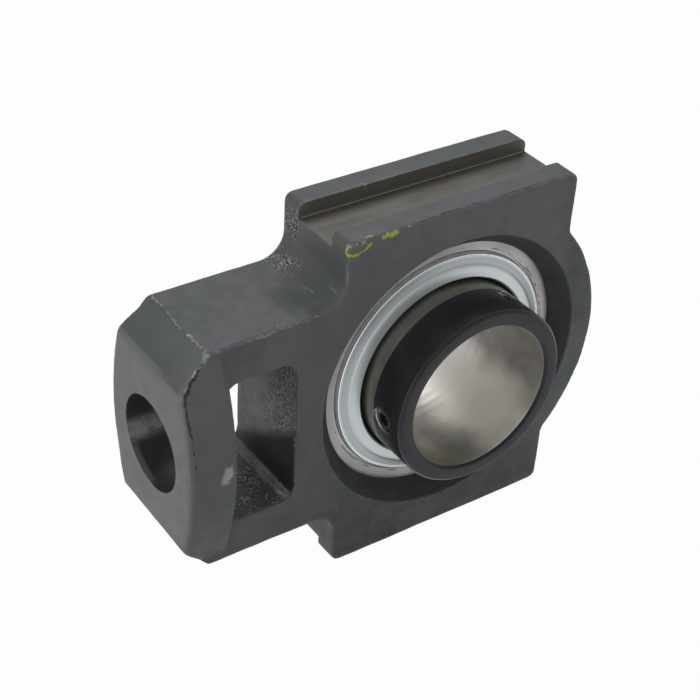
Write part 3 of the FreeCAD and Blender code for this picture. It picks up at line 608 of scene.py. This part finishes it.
def shadeFlank(tree, spot, body, tone):
    # Painted light on the end wall's front facet, painted shade on the strap beside its crease, and the
    # nose top darker and greener
    p = castPlaces
    onFlank = both(tree, ease(tree, spot.y, *p["flankAcross"]), ease(tree, spot.z, *p["flankHeight"]))
    facet = both(tree, onFlank, ease(tree, spot.x, *p["facetStart"]), ease(tree, spot.x, *p["facetEnd"]))
    body = coat(tree, body, both(tree, facet, ease(tree, tone, 0.3, 0.6, 0.35, 0.8)), "facet")
    besideFacet = both(
        tree, onFlank, between(tree, spot.x, *p["besideFacet"]), ease(tree, spot.z, *p["besideHeight"]),
    )
    noseTop = both(
        tree, ease(tree, spot.y, *p["frontFace"]), ease(tree, spot.x, *p["noseAlong"]),
        ease(tree, spot.z, *p["noseHeight"]),
    )
    shaded = larger(tree, scaled(tree, besideFacet, 0.5), scaled(tree, noseTop, 0.8))
    return coat(tree, body, shaded, "greenShade")


def findRoughSpots(tree, spot):
    # Sand grains stand out where the mould was rough
    p = castPlaces
    spot.grains = useGroup(tree, castGrit, Place=spot.place, Grain=1250.0, Density=1.05)
    pitPlace = moved(tree, spot.place, (0.31, 0.17, 0.23))
    spot.pits = useGroup(tree, castGrit, Place=pitPlace, Grain=1050.0, Density=1.1)
    spot.fine = useGroup(tree, castGrit, Place=spot.place, Grain=700.0, Density=0.36)
    spot.cluster = noise(tree, moved(tree, spot.place, (0.2, 0.8, 0.5)), 120.0, 2.0, 0.5)
    rearEnd = both(
        tree, ease(tree, spot.y, *p["rearAcross"]), ease(tree, spot.x, *p["flangeEnd"]),
        between(tree, spot.z, *p["flangeHeight"]),
    )
    rearFillet = both(
        tree, between(tree, spot.y, *p["filletAcross"]), between(tree, spot.x, *p["filletAlong"]),
        between(tree, spot.z, *p["filletHeight"]),
    )
    rearRough = both(tree, larger(tree, rearEnd, rearFillet), ease(tree, spot.cluster, 0.36, 0.56))
    wallRough = both(
        tree, spot.inWindow, ease(tree, spot.y, *p["wallAcross"], 1.0, 0.22),
        ease(tree, spot.cluster, 0.34, 0.56, 0.45, 1.0), ease(tree, spot.x, *p["wallStart"]),
    )
    floorRough = both(
        tree, spot.inWindow, fadeOut(tree, spot.x, *p["wallStart"]),
        ease(tree, spot.cluster, 0.42, 0.60, 0.12, 0.6),
    )
    topRough = both(
        tree, between(tree, spot.x, *p["topAlong"]), ease(tree, spot.cluster, 0.48, 0.66),
        ease(tree, spot.y, *p["topAcross"]), ease(tree, spot.z, *p["topHeight"]),
    )
    rearOrWall = larger(tree, rearRough, wallRough)
    spot.rough = larger(tree, rearOrWall, larger(tree, floorRough, scaled(tree, topRough, 0.3)))


def paintWindow(tree, spot, body):
    # The window keeps its bare cast skin, with painted shadow low down and rubbed light at its foot
    p = castPlaces
    body = coat(tree, body, scaled(tree, spot.fine["Speckle"], 0.45), "speck")
    onWall = ease(tree, spot.x, *p["wallSkin"])
    patches = ease(tree, spot.mottled, 0.35, 0.65)
    wallSkin = blendColour(tree, patches, castPaint["wallDark"], castPaint["wallLight"])
    floorSkin = blendColour(tree, patches, castPaint["floorDark"], castPaint["floorLight"])
    windowSkin = blendColour(tree, onWall, floorSkin, wallSkin)
    body = blendColour(tree, scaled(tree, spot.inWindow, 0.85), body, windowSkin)
    pitted = both(tree, spot.rough, spot.pits["Speckle"], ease(tree, spot.cluster, 0.3, 0.6, 0.6, 1.0))
    body = coat(tree, body, pitted, "grainDark")
    body = coat(tree, body, both(tree, spot.rough, spot.grains["Speckle"]), "grainLight")
    # Painted shadow in the lower window, under a slanting line and weaker towards the back
    oilLine = calc(tree, "ADD", spot.z, scaled(tree, spot.y, 0.65))
    oilRise = both(
        tree, spot.inWindow, fadeOut(tree, oilLine, *p["oilLine"]), ease(tree, spot.z, *p["oilFoot"]),
    )
    spot.oiledLow = both(tree, oilRise, ease(tree, spot.y, *p["oilAcross"], 1.0, 0.6))
    body = coat(tree, body, scaled(tree, spot.oiledLow, 0.96), "shade")
    foot = both(
        tree, spot.inWindow, ease(tree, spot.x, *p["footAlong"]), between(tree, spot.z, *p["footHeight"]),
    )
    rubbedFoot = both(tree, foot, ease(tree, spot.fine["Height"], 0.40, 0.56, 0.2, 0.85))
    return coat(tree, body, rubbedFoot, "worn")


def paintMachined(tree, spot, body):
    # Oiled grooves with long streaks, painted shade in the seat recess, and the screw's bore with its
    # lighter band and painted light at one side of its mouth
    p = castPlaces
    streakPlace = vectorCalc(tree, "MULTIPLY", spot.place, (14.0, 420.0, 420.0))
    spot.streaks = noise(tree, streakPlace, 1.0, 3.0, 0.55)
    stainPlace = vectorCalc(tree, "MULTIPLY", spot.place, (28.0, 70.0, 28.0))
    stains = noise(tree, stainPlace, 1.0, 2.0, 0.5)
    oilTone = calc(tree, "ADD", scaled(tree, spot.streaks, 0.35), scaled(tree, stains, 0.65))
    oiled = blendColour(
        tree, ease(tree, oilTone, 0.36, 0.62), castPaint["oiledDark"], castPaint["oiledLight"],
    )
    body = blendColour(tree, spot.inGroove, body, oiled)
    oliveSide = both(
        tree, spot.inGroove, ease(tree, spot.y, *p["oliveAcross"]), ease(tree, stains, 0.35, 0.6, 0.3, 0.7),
    )
    body = coat(tree, body, oliveSide, "oiledOlive")
    body = coat(tree, body, spot.grooveWall, "oiledWall")
    # Painted shade in the seat recess between the frame and the ring
    body = coat(tree, body, spot.onSeat, "seat")
    band = both(
        tree, spot.inBore, between(tree, spot.z, *p["bandHeight"]), ease(tree, spot.y, *p["bandAcross"]),
    )
    bandTone = both(tree, band, ease(tree, spot.mottled, 0.35, 0.62, 0.45, 1.0))
    bore = blendColour(tree, bandTone, castPaint["bore"], castPaint["boreBand"])
    bandGrains = both(tree, band, spot.grains["Speckle"], ease(tree, spot.cluster, 0.4, 0.6, 0.0, 0.5))
    bore = coat(tree, bore, bandGrains, "grainLight")
    # Painted light on one side of the bore's mouth
    mouthSide = calc(tree, "SUBTRACT", scaled(tree, spot.y, 0.5), scaled(tree, spot.z, 0.86))
    mouth = both(
        tree, ease(tree, spot.x, *p["mouthAlong"]), ease(tree, mouthSide, *p["mouthSide"], 0.0, 0.8),
    )
    bore = coat(tree, bore, mouth, "mouth")
    return blendColour(tree, spot.inBore, body, bore)


def traceMark(tree, place, mark):
    mask = None
    uneven = calc(tree, "SUBTRACT", noise(tree, place, mark["grain"], 2.0, 0.6), 0.5)
    ragged = scaled(tree, uneven, mark["ragged"] * mm)
    for start, end, halfWidth in mark["lines"]:
        line = useGroup(
            tree, nearLine, Place=place, Start=[part * mm for part in start],
            End=[part * mm for part in end], HalfWidth=halfWidth * mm, Ragged=ragged, Soft=mark["soft"],
        )["Mask"]
        mask = line if mask is None else larger(tree, mask, line)
    return mask


def addMarks(tree, spot, body):
    # Rubbed edges and the marks that this casting has, all but the corner line bent a little so that they
    # are not ruler straight
    rubbed = useGroup(tree, edgeWear, Place=spot.place, Start=0.509, Full=0.548, Broken=0.55)["Mask"]
    body = coat(tree, body, scaled(tree, rubbed, 0.30), "worn")
    wander = addNode(tree, "TexNoise", noise_dimensions="3D")
    feed(tree, wander.inputs["Vector"], spot.place)
    wander.inputs["Scale"].default_value = 330.0
    wander.inputs["Detail"].default_value = 1.0
    centred = vectorCalc(tree, "SUBTRACT", wander.outputs["Color"], (0.5, 0.5, 0.5))
    bent = moved(tree, spot.place, vectorCalc(tree, "SCALE", centred, scale=2.2 * mm))
    spot.masks = {}
    for name, mark in castMarks.items():
        spot.masks[name] = traceMark(tree, spot.place if "straight" in mark else bent, mark)
        body = coat(tree, body, scaled(tree, spot.masks[name], mark["strength"]), mark["paint"])
    return body


def makeCastMaterial():
    material, tree, shader = startMaterial("castIronPainted")
    spot = findCastSpots(tree, objectPlace(tree))
    body = paintSkin(tree, spot)
    findRoughSpots(tree, spot)
    body = paintWindow(tree, spot, body)
    body = paintMachined(tree, spot, body)
    body = addMarks(tree, spot, body)
    feed(tree, shader.inputs["Base Color"], body)

    gloss = ease(tree, spot.mottled, 0.3, 0.75, 0.52, 0.66)
    gloss = calc(tree, "ADD", gloss, scaled(tree, larger(tree, spot.rough, spot.oiledLow), 0.22))
    gloss = calc(tree, "SUBTRACT", gloss, scaled(tree, spot.inGroove, 0.10))
    feed(tree, shader.inputs["Roughness"], gloss)
    shader.inputs["Specular IOR Level"].default_value = 0.5

    skin = calc(tree, "ADD", scaled(tree, spot.mottled, 0.9), scaled(tree, spot.fine["Height"], 0.5))
    height = both(tree, skin, calc(tree, "SUBTRACT", 1.0, scaled(tree, spot.inGroove, 0.9)))
    grit = calc(tree, "SUBTRACT", spot.grains["Height"], spot.pits["Height"])
    height = calc(tree, "ADD", height, both(tree, grit, scaled(tree, spot.rough, 2.4)))
    cut = larger(tree, spot.masks["crack"], spot.masks["lip"])
    height = calc(tree, "SUBTRACT", height, scaled(tree, cut, 2.2))
    height = calc(tree, "ADD", height, scaled(tree, spot.masks["ridge"], 1.2))
    height = calc(tree, "ADD", height, scaled(tree, both(tree, spot.streaks, spot.inGroove), 0.35))
    feed(tree, shader.inputs["Normal"], bumpFrom(tree, height, 0.5, 0.0004))
    return material


# The outer ring's ground steel

ringFinish = {
    "steelDark": colour(0.60, 0.59, 0.57), "steelLight": colour(0.78, 0.77, 0.755),
    "speck": colour(0.1, 0.09, 0.085), "dirt": colour(0.03, 0.028, 0.026),
    "dirtRadius": (0.0563, 0.0568, 0.0002), "dirtSide": (0.015, 0.040), "dirtDepth": (0.0004, 0.0002),
}
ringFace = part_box("outer_ring")[1][1]        # how far the ring's end faces lie from its middle


def makeRingMaterial():
    r = ringFinish
    material, tree, shader = startMaterial("groundRingSteel")
    place = objectPlace(tree)
    lathe = useGroup(tree, latheLines, Place=place, Pitch=0.00025)
    stain = noise(tree, place, 45.0, 3.0, 0.5)
    body = blendColour(tree, ease(tree, stain, 0.35, 0.7), r["steelDark"], r["steelLight"])
    specks = useGroup(tree, castGrit, Place=place, Grain=600.0, Density=0.35)
    body = blendColour(tree, scaled(tree, specks["Speckle"], 0.6), body, r["speck"])
    # Darker in broken dashes beside the shield, all round but the upper left
    x, y, z = splitPlace(tree, place)
    sideways = calc(tree, "ABSOLUTE", y)
    upperLeft = calc(tree, "SUBTRACT", scaled(tree, z, 0.7), scaled(tree, x, 0.7))
    dashes = both(
        tree, fadeOut(tree, upperLeft, *r["dirtSide"]),
        between(tree, shaftRadius(tree, place), *r["dirtRadius"]),
        ease(tree, sideways, *[ringFace - depth for depth in r["dirtDepth"]]),
        ease(tree, noise(tree, place, 210.0, 2.0, 0.5), 0.50, 0.56),
    )
    body = blendColour(tree, scaled(tree, dashes, 0.85), body, r["dirt"])
    feed(tree, shader.inputs["Base Color"], body)
    shader.inputs["Metallic"].default_value = 0.2
    feed(tree, shader.inputs["Roughness"], ease(tree, lathe["Tone"], 0.3, 0.7, 0.36, 0.5))
    feed(tree, shader.inputs["Normal"], bumpFrom(tree, lathe["Height"], 0.15, 0.00005))
    return material


# The collar's blue black oxide and its bright turned bore

collarFinish = {
    "oxide": colour(0.038, 0.038, 0.043), "oxideDeep": colour(0.024, 0.026, 0.030),
    "rim": colour(0.012, 0.014, 0.021), "rimWarm": colour(0.022, 0.021, 0.019),
    "chamfer": colour(0.011, 0.013, 0.022), "speck": colour(0.40, 0.39, 0.38),
    "boreDark": colour(0.30, 0.29, 0.265), "boreLight": colour(0.96, 0.93, 0.87),
    "boreGreen": colour(0.20, 0.21, 0.14), "tap": colour(0.62, 0.60, 0.57),
    "land": colour(0.40, 0.395, 0.345), "landDark": colour(0.27, 0.27, 0.235),
    "boreRadius": (0.03505, 0.0352), "face": (-0.0433, -0.0437),
    "chamferRadius": (0.0366, 0.0362), "chamferAlong": (-0.0425, -0.0429),
    "landAlong": (-0.0255, -0.0250), "landRadius": (0.0420, 0.0424),
    "tapOuter": (0.04262, 0.04255), "tapInner": (0.0353, 0.0354), "tapAlong": (-0.0379, -0.0249, 0.0001),
    "bright": (-1.30, -0.45, 0.32), "brightAlong": (-0.043, -0.024),
    "oilAlong": (-0.026, -0.041), "oilFrom": (-2.9, -2.5), "oilTo": (-1.9, -1.3),
}


def makeCollarBore(tree, place, y, turn):
    # A painted reflection lightens the bore on one side, and the oil at its front edge looks green, below
    # on the left
    c = collarFinish
    patch = addNode(tree, "CombineXYZ")
    feed(tree, patch.inputs[0], calc(tree, "COSINE", turn))
    feed(tree, patch.inputs[1], scaled(tree, y, 24.0))
    feed(tree, patch.inputs[2], calc(tree, "SINE", turn))
    broad = noise(tree, patch.outputs[0], 2.0, 2.0, 0.5)
    # Painted reflection on one side of the bore
    polished = between(tree, turn, *c["bright"])
    polished = both(tree, polished, ease(tree, y, *c["brightAlong"], 0.45, 1.0))
    boreTone = calc(tree, "ADD", scaled(tree, broad, 0.5), scaled(tree, polished, 0.5))
    bore = blendColour(tree, ease(tree, boreTone, 0.12, 0.68), c["boreDark"], c["boreLight"])
    oiled = both(
        tree, ease(tree, y, *c["oilAlong"]), ease(tree, turn, *c["oilFrom"]),
        fadeOut(tree, turn, *c["oilTo"]),
    )
    return blendColour(tree, scaled(tree, oiled, 0.55), bore, c["boreGreen"])


def makeCollarMaterial():
    c = collarFinish
    material, tree, shader = startMaterial("collarOxide")
    place = objectPlace(tree)
    x, y, z = splitPlace(tree, place)
    reach = shaftRadius(tree, place)
    inBore = fadeOut(tree, reach, *c["boreRadius"])
    onFace = ease(tree, y, *c["face"])
    onChamfer = both(tree, ease(tree, reach, *c["chamferRadius"]), ease(tree, y, *c["chamferAlong"]))
    lathe = useGroup(tree, latheLines, Place=place, Pitch=0.0003)
    bore = makeCollarBore(tree, place, y, calc(tree, "ARCTAN2", z, x))
    slow = noise(tree, place, 60.0, 3.0, 0.55)
    patches = ease(tree, slow, 0.35, 0.7)
    oxide = blendColour(tree, patches, c["oxideDeep"], c["oxide"])
    rimPatches = ease(tree, noise(tree, place, 38.0, 3.0, 0.55), 0.42, 0.66)
    rim = blendColour(tree, rimPatches, c["rim"], c["rimWarm"])
    onLand = both(tree, ease(tree, y, *c["landAlong"]), ease(tree, reach, *c["landRadius"]))
    oxide = blendColour(tree, onLand, oxide, blendColour(tree, patches, c["landDark"], c["land"]))
    # The tapped holes are bare steel, painted light as well to stand for the glints on their threads
    inTap = both(
        tree, ease(tree, reach, *c["tapOuter"]), ease(tree, reach, *c["tapInner"]),
        between(tree, y, *c["tapAlong"]),
    )
    oxide = blendColour(tree, inTap, oxide, c["tap"])
    oxide = blendColour(tree, onFace, oxide, rim)
    oxide = blendColour(tree, onChamfer, oxide, c["chamfer"])
    specks = useGroup(tree, castGrit, Place=place, Grain=700.0, Density=0.22)
    oxide = blendColour(tree, scaled(tree, specks["Speckle"], 0.5), oxide, c["speck"])
    rubbed = useGroup(tree, edgeWear, Place=place, Start=0.56, Full=0.66, Broken=0.6)["Mask"]
    oxide = blendColour(tree, scaled(tree, rubbed, 0.5), oxide, c["speck"])
    feed(tree, shader.inputs["Base Color"], blendColour(tree, inBore, oxide, bore))
    front = larger(tree, onFace, onChamfer)
    bare = larger(tree, scaled(tree, inBore, 0.78), scaled(tree, larger(tree, onLand, inTap), 0.8))
    feed(tree, shader.inputs["Metallic"], larger(tree, bare, 0.2))
    gloss = ease(tree, lathe["Tone"], 0.3, 0.7, 0.30, 0.38)
    gloss = calc(tree, "ADD", gloss, scaled(tree, inBore, 0.23))
    gloss = calc(tree, "ADD", gloss, scaled(tree, front, 0.06))
    feed(tree, shader.inputs["Roughness"], gloss)
    shader.inputs["Specular IOR Level"].default_value = 0.38
    feed(tree, shader.inputs["Normal"], bumpFrom(tree, lathe["Height"], 0.08, 0.00003))
    return material


# The shields' bright zinc plate, and the plainer finishes

zincFinish = {
    "sheetDark": colour(0.46, 0.51, 0.52), "sheetLight": colour(0.58, 0.62, 0.63),
    "outerBand": colour(0.38, 0.42, 0.43), "innerBand": colour(0.76, 0.80, 0.81),
    "crest": colour(0.93, 0.95, 0.96),
    "outerReach": (0.0498, 0.0530, 0.0004), "innerReach": (0.0500, 0.0494),
    "crestReach": (0.0533, 0.0549, 0.0003),
}
plainFinishes = {
    # dark tone, light tone, metallic, roughness, grain
    "polishedBallSteel": ((0.70, 0.70, 0.71), (0.78, 0.78, 0.78), 1.0, 0.1, 90.0),
    "pressedCageSteel": ((0.40, 0.39, 0.38), (0.50, 0.49, 0.48), 0.9, 0.35, 120.0),
    "nitrileRubber": ((0.016, 0.016, 0.016), (0.028, 0.028, 0.028), 0.0, 0.62, 150.0),
    "blackScrewSteel": ((0.05, 0.048, 0.046), (0.34, 0.33, 0.32), 0.8, 0.24, 420.0),
    "zincNippleSteel": ((0.50, 0.47, 0.38), (0.62, 0.60, 0.52), 0.9, 0.3, 200.0),
}


def makeZincMaterial():
    s = zincFinish
    material, tree, shader = startMaterial("brightZincSheet")
    place = objectPlace(tree)
    reach = shaftRadius(tree, place)
    lathe = useGroup(tree, latheLines, Place=place, Pitch=0.0005)
    cloud = noise(tree, place, 30.0, 3.0, 0.5)
    body = blendColour(tree, ease(tree, cloud, 0.35, 0.7), s["sheetDark"], s["sheetLight"])
    # Painted shade on the outer band and painted reflection on the inner stepped band
    outerBand = between(tree, reach, *s["outerReach"])
    body = blendColour(tree, scaled(tree, outerBand, 0.5), body, s["outerBand"])
    innerBand = ease(tree, reach, *s["innerReach"])
    body = blendColour(tree, scaled(tree, innerBand, 0.5), body, s["innerBand"])
    # Painted highlight on the bead's crest
    crest = between(tree, reach, *s["crestReach"])
    body = blendColour(tree, crest, body, s["crest"])
    feed(tree, shader.inputs["Base Color"], body)
    shader.inputs["Metallic"].default_value = 0.8
    gloss = ease(tree, lathe["Tone"], 0.3, 0.7, 0.32, 0.42)
    feed(tree, shader.inputs["Roughness"], calc(tree, "SUBTRACT", gloss, scaled(tree, crest, 0.14)))
    height = calc(tree, "ADD", lathe["Height"], noise(tree, place, 300.0))
    feed(tree, shader.inputs["Normal"], bumpFrom(tree, height, 0.1, 0.00005))
    return material


def makePlainMaterial(name):
    dark, light, metallic, roughness, grain = plainFinishes[name]
    material, tree, shader = startMaterial(name)
    place = objectPlace(tree)
    cloud = noise(tree, place, grain, 3.0, 0.55)
    body = blendColour(tree, ease(tree, cloud, 0.35, 0.68), colour(*dark), colour(*light))
    feed(tree, shader.inputs["Base Color"], body)
    shader.inputs["Metallic"].default_value = metallic
    feed(tree, shader.inputs["Roughness"], ease(tree, cloud, 0.3, 0.7, roughness, roughness + 0.1))
    height = noise(tree, place, grain * 8)
    feed(tree, shader.inputs["Normal"], bumpFrom(tree, height, 0.1, 0.00005))
    return material


castMaterial = makeCastMaterial()
ringMaterial = makeRingMaterial()
collarMaterial = makeCollarMaterial()
zincMaterial = makeZincMaterial()
ballMaterial = makePlainMaterial("polishedBallSteel")
cageMaterial = makePlainMaterial("pressedCageSteel")
rubberMaterial = makePlainMaterial("nitrileRubber")
screwMaterial = makePlainMaterial("blackScrewSteel")
nippleMaterial = makePlainMaterial("zincNippleSteel")
print("finishes ready")


# The cast frame, from the solid with its edges softened as in a casting

castFrame = {"depth": 8, "scale": 0.777, "softening": 5, "unevenness": 0.0005, "patchSize": 0.018}
# The places that are cut after casting, in mm, with some room round them
machined = {
    "grooveHalf": 13.2, "grooveLevel": 75.5, "seatRadius": 69, "seatHalf": 30,
    "boreBack": -112.5, "boreRadius": 22.4, "nippleFrom": 66, "nippleAcross": 8.1, "nippleRadius": 7,
}


def isMachined(place):
    m = machined
    x, y, z = (part / mm for part in place)
    inGroove = abs(y) < m["grooveHalf"] and abs(z) > m["grooveLevel"]
    inSeat = math.hypot(x, z) < m["seatRadius"] and abs(y) < m["seatHalf"]
    inBore = x < m["boreBack"] and math.hypot(y, z) < m["boreRadius"]
    inTap = x > m["nippleFrom"] and math.hypot(y - m["nippleAcross"], z) < m["nippleRadius"]
    return inGroove or inSeat or inBore or inTap


def makeCastFrame():
    source = nodes["housing"]
    piece = source.copy()
    piece.data = source.data.copy()
    piece.parent = None
    piece.name = "castFrame"
    bpy.context.collection.objects.link(piece)
    editAll(piece)
    bpy.ops.mesh.remove_doubles(threshold=0.002 * mm)
    bpy.ops.object.mode_set(mode="OBJECT")
    applyModifier(
        piece, "REMESH", mode="SHARP", octree_depth=castFrame["depth"], scale=castFrame["scale"],
        sharpness=1.0, use_remove_disconnected=False,
    )
    skin = piece.vertex_groups.new(name="castSkin")
    skin.add([v.index for v in piece.data.vertices if not isMachined(v.co)], 1.0, "REPLACE")
    applyModifier(piece, "SMOOTH", factor=0.5, iterations=castFrame["softening"], vertex_group="castSkin")
    clouds = bpy.data.textures.new("castUnevenness", "CLOUDS")
    clouds.noise_scale = castFrame["patchSize"]
    clouds.noise_depth = 2
    applyModifier(
        piece, "DISPLACE", texture=clouds, strength=castFrame["unevenness"], mid_level=0.5,
        texture_coords="LOCAL", vertex_group="castSkin",
    )
    smoothFaces(piece, 40)
    wear(piece, castMaterial)
    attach(piece, "frame")
    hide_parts("housing")


makeCastFrame()
print("cast frame done")


# The inner ring with its set screw collar, and the two set screws

collar = {
    "bore": 35.0, "outside": 42.75, "front": -44.4, "rear": 30.2, "edge": 1.2, "rounding": 0.35,
    "raceHalf": 6.51, "raceBottom": 40.0, "raceCurve": 9.08, "raceSteps": 8, "steps": 144,
}
screwAngles = [59.0, 185.5]
screwPlane = -31.4
tapThread = {
    "sides": 48, "crest": 6.45, "depth": 0.42, "endEdge": 0.0, "foot": 33.5, "top": 44.5,
    "pitch": 1.75, "rowsPerTurn": 8, "runOut": 0.01,
}
screwThread = {
    "sides": 48, "crest": 6.0, "depth": 0.55, "endEdge": 0.9, "foot": 35.25, "top": 41.65,
    "pitch": 1.75, "rowsPerTurn": 8, "runOut": 1.0, "socket": 6.0, "socketDepth": 3.6,
}


def raceArc():
    # The balls' race, a little flatter than a ball
    c = collar
    arc = []
    for step in range(c["raceSteps"] + 1):
        along = c["raceHalf"] * (2 * step / c["raceSteps"] - 1)
        inward = math.sqrt(c["raceCurve"] ** 2 - along ** 2)
        arc.append((c["raceBottom"] + c["raceCurve"] - inward, along))
    return arc


def makeCollar():
    c = collar
    outline = [
        (c["bore"], c["front"] + c["edge"]), (c["bore"] + c["edge"], c["front"]),
        (c["outside"] - c["edge"], c["front"]), (c["outside"], c["front"] + c["edge"]),
        *raceArc(),
        (c["outside"], c["rear"] - c["edge"]), (c["outside"] - c["edge"], c["rear"]),
        (c["bore"] + c["edge"], c["rear"]), (c["bore"], c["rear"] - c["edge"]),
    ]
    piece = spinOutline(startOutline("innerRingCollar", outline, c["rounding"]), c["steps"])
    for degrees in screwAngles:
        cutter = threadedRod("tapCutter", tapThread)
        aimFromShaft(cutter, screwPlane, degrees)
        cutWith(piece, cutter)
    smoothFaces(piece, 32)
    wear(piece, collarMaterial)
    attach(piece, "inner_ring")
    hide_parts("inner_ring")


def makeSetScrew(number, degrees):
    piece = threadedRod("socketScrew%d" % number, screwThread)
    deselectAll()
    across = screwThread["socket"] / math.sqrt(3)
    bpy.ops.mesh.primitive_cylinder_add(
        vertices=6, radius=across * mm, depth=2 * screwThread["socketDepth"] * mm,
        location=(0, 0, screwThread["top"] * mm),
    )
    socket = bpy.context.object
    editAll(socket)
    bpy.ops.mesh.subdivide(number_cuts=1)
    bpy.ops.object.mode_set(mode="OBJECT")
    cutWith(piece, socket)
    aimFromShaft(piece, screwPlane, degrees)
    smoothFaces(piece, 32)
    wear(piece, screwMaterial)
    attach(piece, "set_screw_%d" % number)
    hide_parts("set_screw_%d" % number)


makeCollar()
for number, degrees in enumerate(screwAngles, start=1):
    makeSetScrew(number, degrees)
print("collar and set screws done")


# Pressed shields, drawn as the sheet's section with a rolled crest

shield = {
    "rim": 55.85, "low": 12.4, "sheet": 0.8, "wall": 55.05, "bead": 54.25, "beadTop": 15.8,
    "valley": 53.45, "valleyTop": 15.4, "stepFoot": 50.1, "footTop": 16.42, "stepHead": 49.0,
    "headTop": 17.08, "lip": 44.8, "lipTop": 18.2, "hole": 44.0, "curlTop": 17.5,
    "crest": 0.75, "crestInset": 0.6, "crestSteps": 5, "rounding": 0.12, "steps": 160,
}


def crestArc():
    s = shield
    arc = []
    for step in range(s["crestSteps"] + 1):
        turn = math.radians(90 * step / s["crestSteps"])
        radius = s["bead"] + s["crest"] * (math.cos(turn) - s["crestInset"])
        arc.append((radius, s["beadTop"] + s["crest"] * (math.sin(turn) - 1.0)))
    return arc


def makeShield(name, side, body, node):
    s = shield
    outline = [
        (s["rim"], s["low"]), (s["rim"], s["low"] + s["sheet"]), (s["wall"], s["low"] + s["sheet"]),
        *crestArc(),
        (s["valley"], s["valleyTop"]), (s["stepFoot"], s["footTop"]), (s["stepHead"], s["headTop"]),
        (s["lip"], s["lipTop"]), (s["hole"], s["curlTop"]), (s["hole"], s["curlTop"] - s["sheet"]),
        (s["lip"], s["lipTop"] - s["sheet"]), (s["stepHead"], s["headTop"] - s["sheet"]),
        (s["stepFoot"], s["footTop"] - s["sheet"]), (s["valley"], s["valleyTop"] - s["sheet"]),
        (s["bead"], s["low"]),
    ]
    outline = [(radius, side * along) for radius, along in outline]
    piece = spinOutline(startOutline(name, outline, s["rounding"]), s["steps"])
    smoothFaces(piece, 50)
    wear(piece, zincMaterial)
    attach(piece, body)
    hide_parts(node)


makeShield("frontShield", -1, "outer_ring", "shield_front")
makeShield("rearShield", 1, "outer_ring", "shield_rear")
print("shields done")


# Finishes for the pieces that stay as the solids are

carried = {
    "outer_ring": ringMaterial, "cage_front": cageMaterial, "cage_rear": cageMaterial,
    "cage_rivets": cageMaterial, "seal_front": rubberMaterial, "seal_rear": rubberMaterial,
    "grease_nipple": nippleMaterial, "nipple_ball": ballMaterial, "nipple_spring": nippleMaterial,
}
for number in range(1, 11):
    carried["ball_%02d" % number] = ballMaterial
for name, material in carried.items():
    for slotNumber in range(len(nodes[name].material_slots)):
        nodes[name].material_slots[slotNumber].material = material
print("carried pieces finished")


# Floor, light and camera

studio = {
    "floorLevel": -0.0836, "floorSize": 30.0, "floorGlow": 0.98, "worldStrength": 0.53,
    "lamps": [
        # name, place, aim, size, power
        ("leftSide", (-2.2, 0.1, 0.45), (-0.1, 0, 0), 1.0, 8.5),
        ("backTop", (0.6, 1.2, 1.9), (0, 0, 0), 1.2, 14.5),
    ],
}
photoCamera = {
    "lens": 79.34, "sensor": 36, "clip": 50, "place": (-0.35365, -0.43852, 0.39533),
    "right": (0.82938, -0.55686, 0.04511), "up": (0.29265, 0.5018, 0.81397),
    "back": (-0.47591, -0.66189, 0.57915),
}


def makeFloor():
    deselectAll()
    bpy.ops.mesh.primitive_plane_add(size=studio["floorSize"], location=(0, 0, studio["floorLevel"]))
    floor = bpy.context.object
    floor.name = "studioFloor"
    material, tree, shader = startMaterial("paleFloor")
    shader.inputs["Base Color"].default_value = colour(0.45, 0.45, 0.45)
    shader.inputs["Roughness"].default_value = 0.9
    glow = addNode(tree, "Emission")
    rays = addNode(tree, "LightPath").outputs
    mirrored = calc(tree, "ADD", rays["Is Glossy Ray"], rays["Is Transmission Ray"])
    seen = calc(tree, "ADD", rays["Is Camera Ray"], mirrored, clamp=True)
    mix = addNode(tree, "MixShader")
    feed(tree, mix.inputs[0], scaled(tree, seen, studio["floorGlow"]))
    tree.links.new(shader.outputs[0], mix.inputs[1])
    tree.links.new(glow.outputs[0], mix.inputs[2])
    tree.links.new(mix.outputs[0], tree.nodes["Material Output"].inputs["Surface"])
    wear(floor, material)


def makeWorld():
    world = bpy.data.worlds.new("studioWorld")
    bpy.context.scene.world = world
    world.use_nodes = True
    tree = world.node_tree
    background = tree.nodes["Background"]
    background.inputs["Color"].default_value = colour(1, 1, 1)
    seen = addNode(tree, "LightPath").outputs["Is Camera Ray"]
    strength = ease(tree, seen, 0.0, 1.0, studio["worldStrength"], 1.0)
    feed(tree, background.inputs["Strength"], strength)


def makeLamps():
    for name, place, aim, size, power in studio["lamps"]:
        data = bpy.data.lights.new(name, "AREA")
        data.shape = "DISK"
        data.size = size
        data.energy = power
        lamp = bpy.data.objects.new(name, data)
        bpy.context.collection.objects.link(lamp)
        lamp.location = place
        lamp.rotation_euler = (Vector(aim) - Vector(place)).to_track_quat("-Z", "Y").to_euler()


def makeCamera():
    c = photoCamera
    data = bpy.data.cameras.new("photoCamera")
    data.sensor_width = c["sensor"]
    data.lens = c["lens"]
    data.clip_end = c["clip"]
    camera = bpy.data.objects.new("photoCamera", data)
    bpy.context.collection.objects.link(camera)
    turn = Matrix((c["right"], c["up"], c["back"])).transposed().to_4x4()
    camera.matrix_world = Matrix.Translation(c["place"]) @ turn
    bpy.context.scene.camera = camera


makeFloor()
makeWorld()
makeLamps()
makeCamera()
bpy.context.scene.view_settings.view_transform = "Standard"
print("studio ready")

deselectAll()
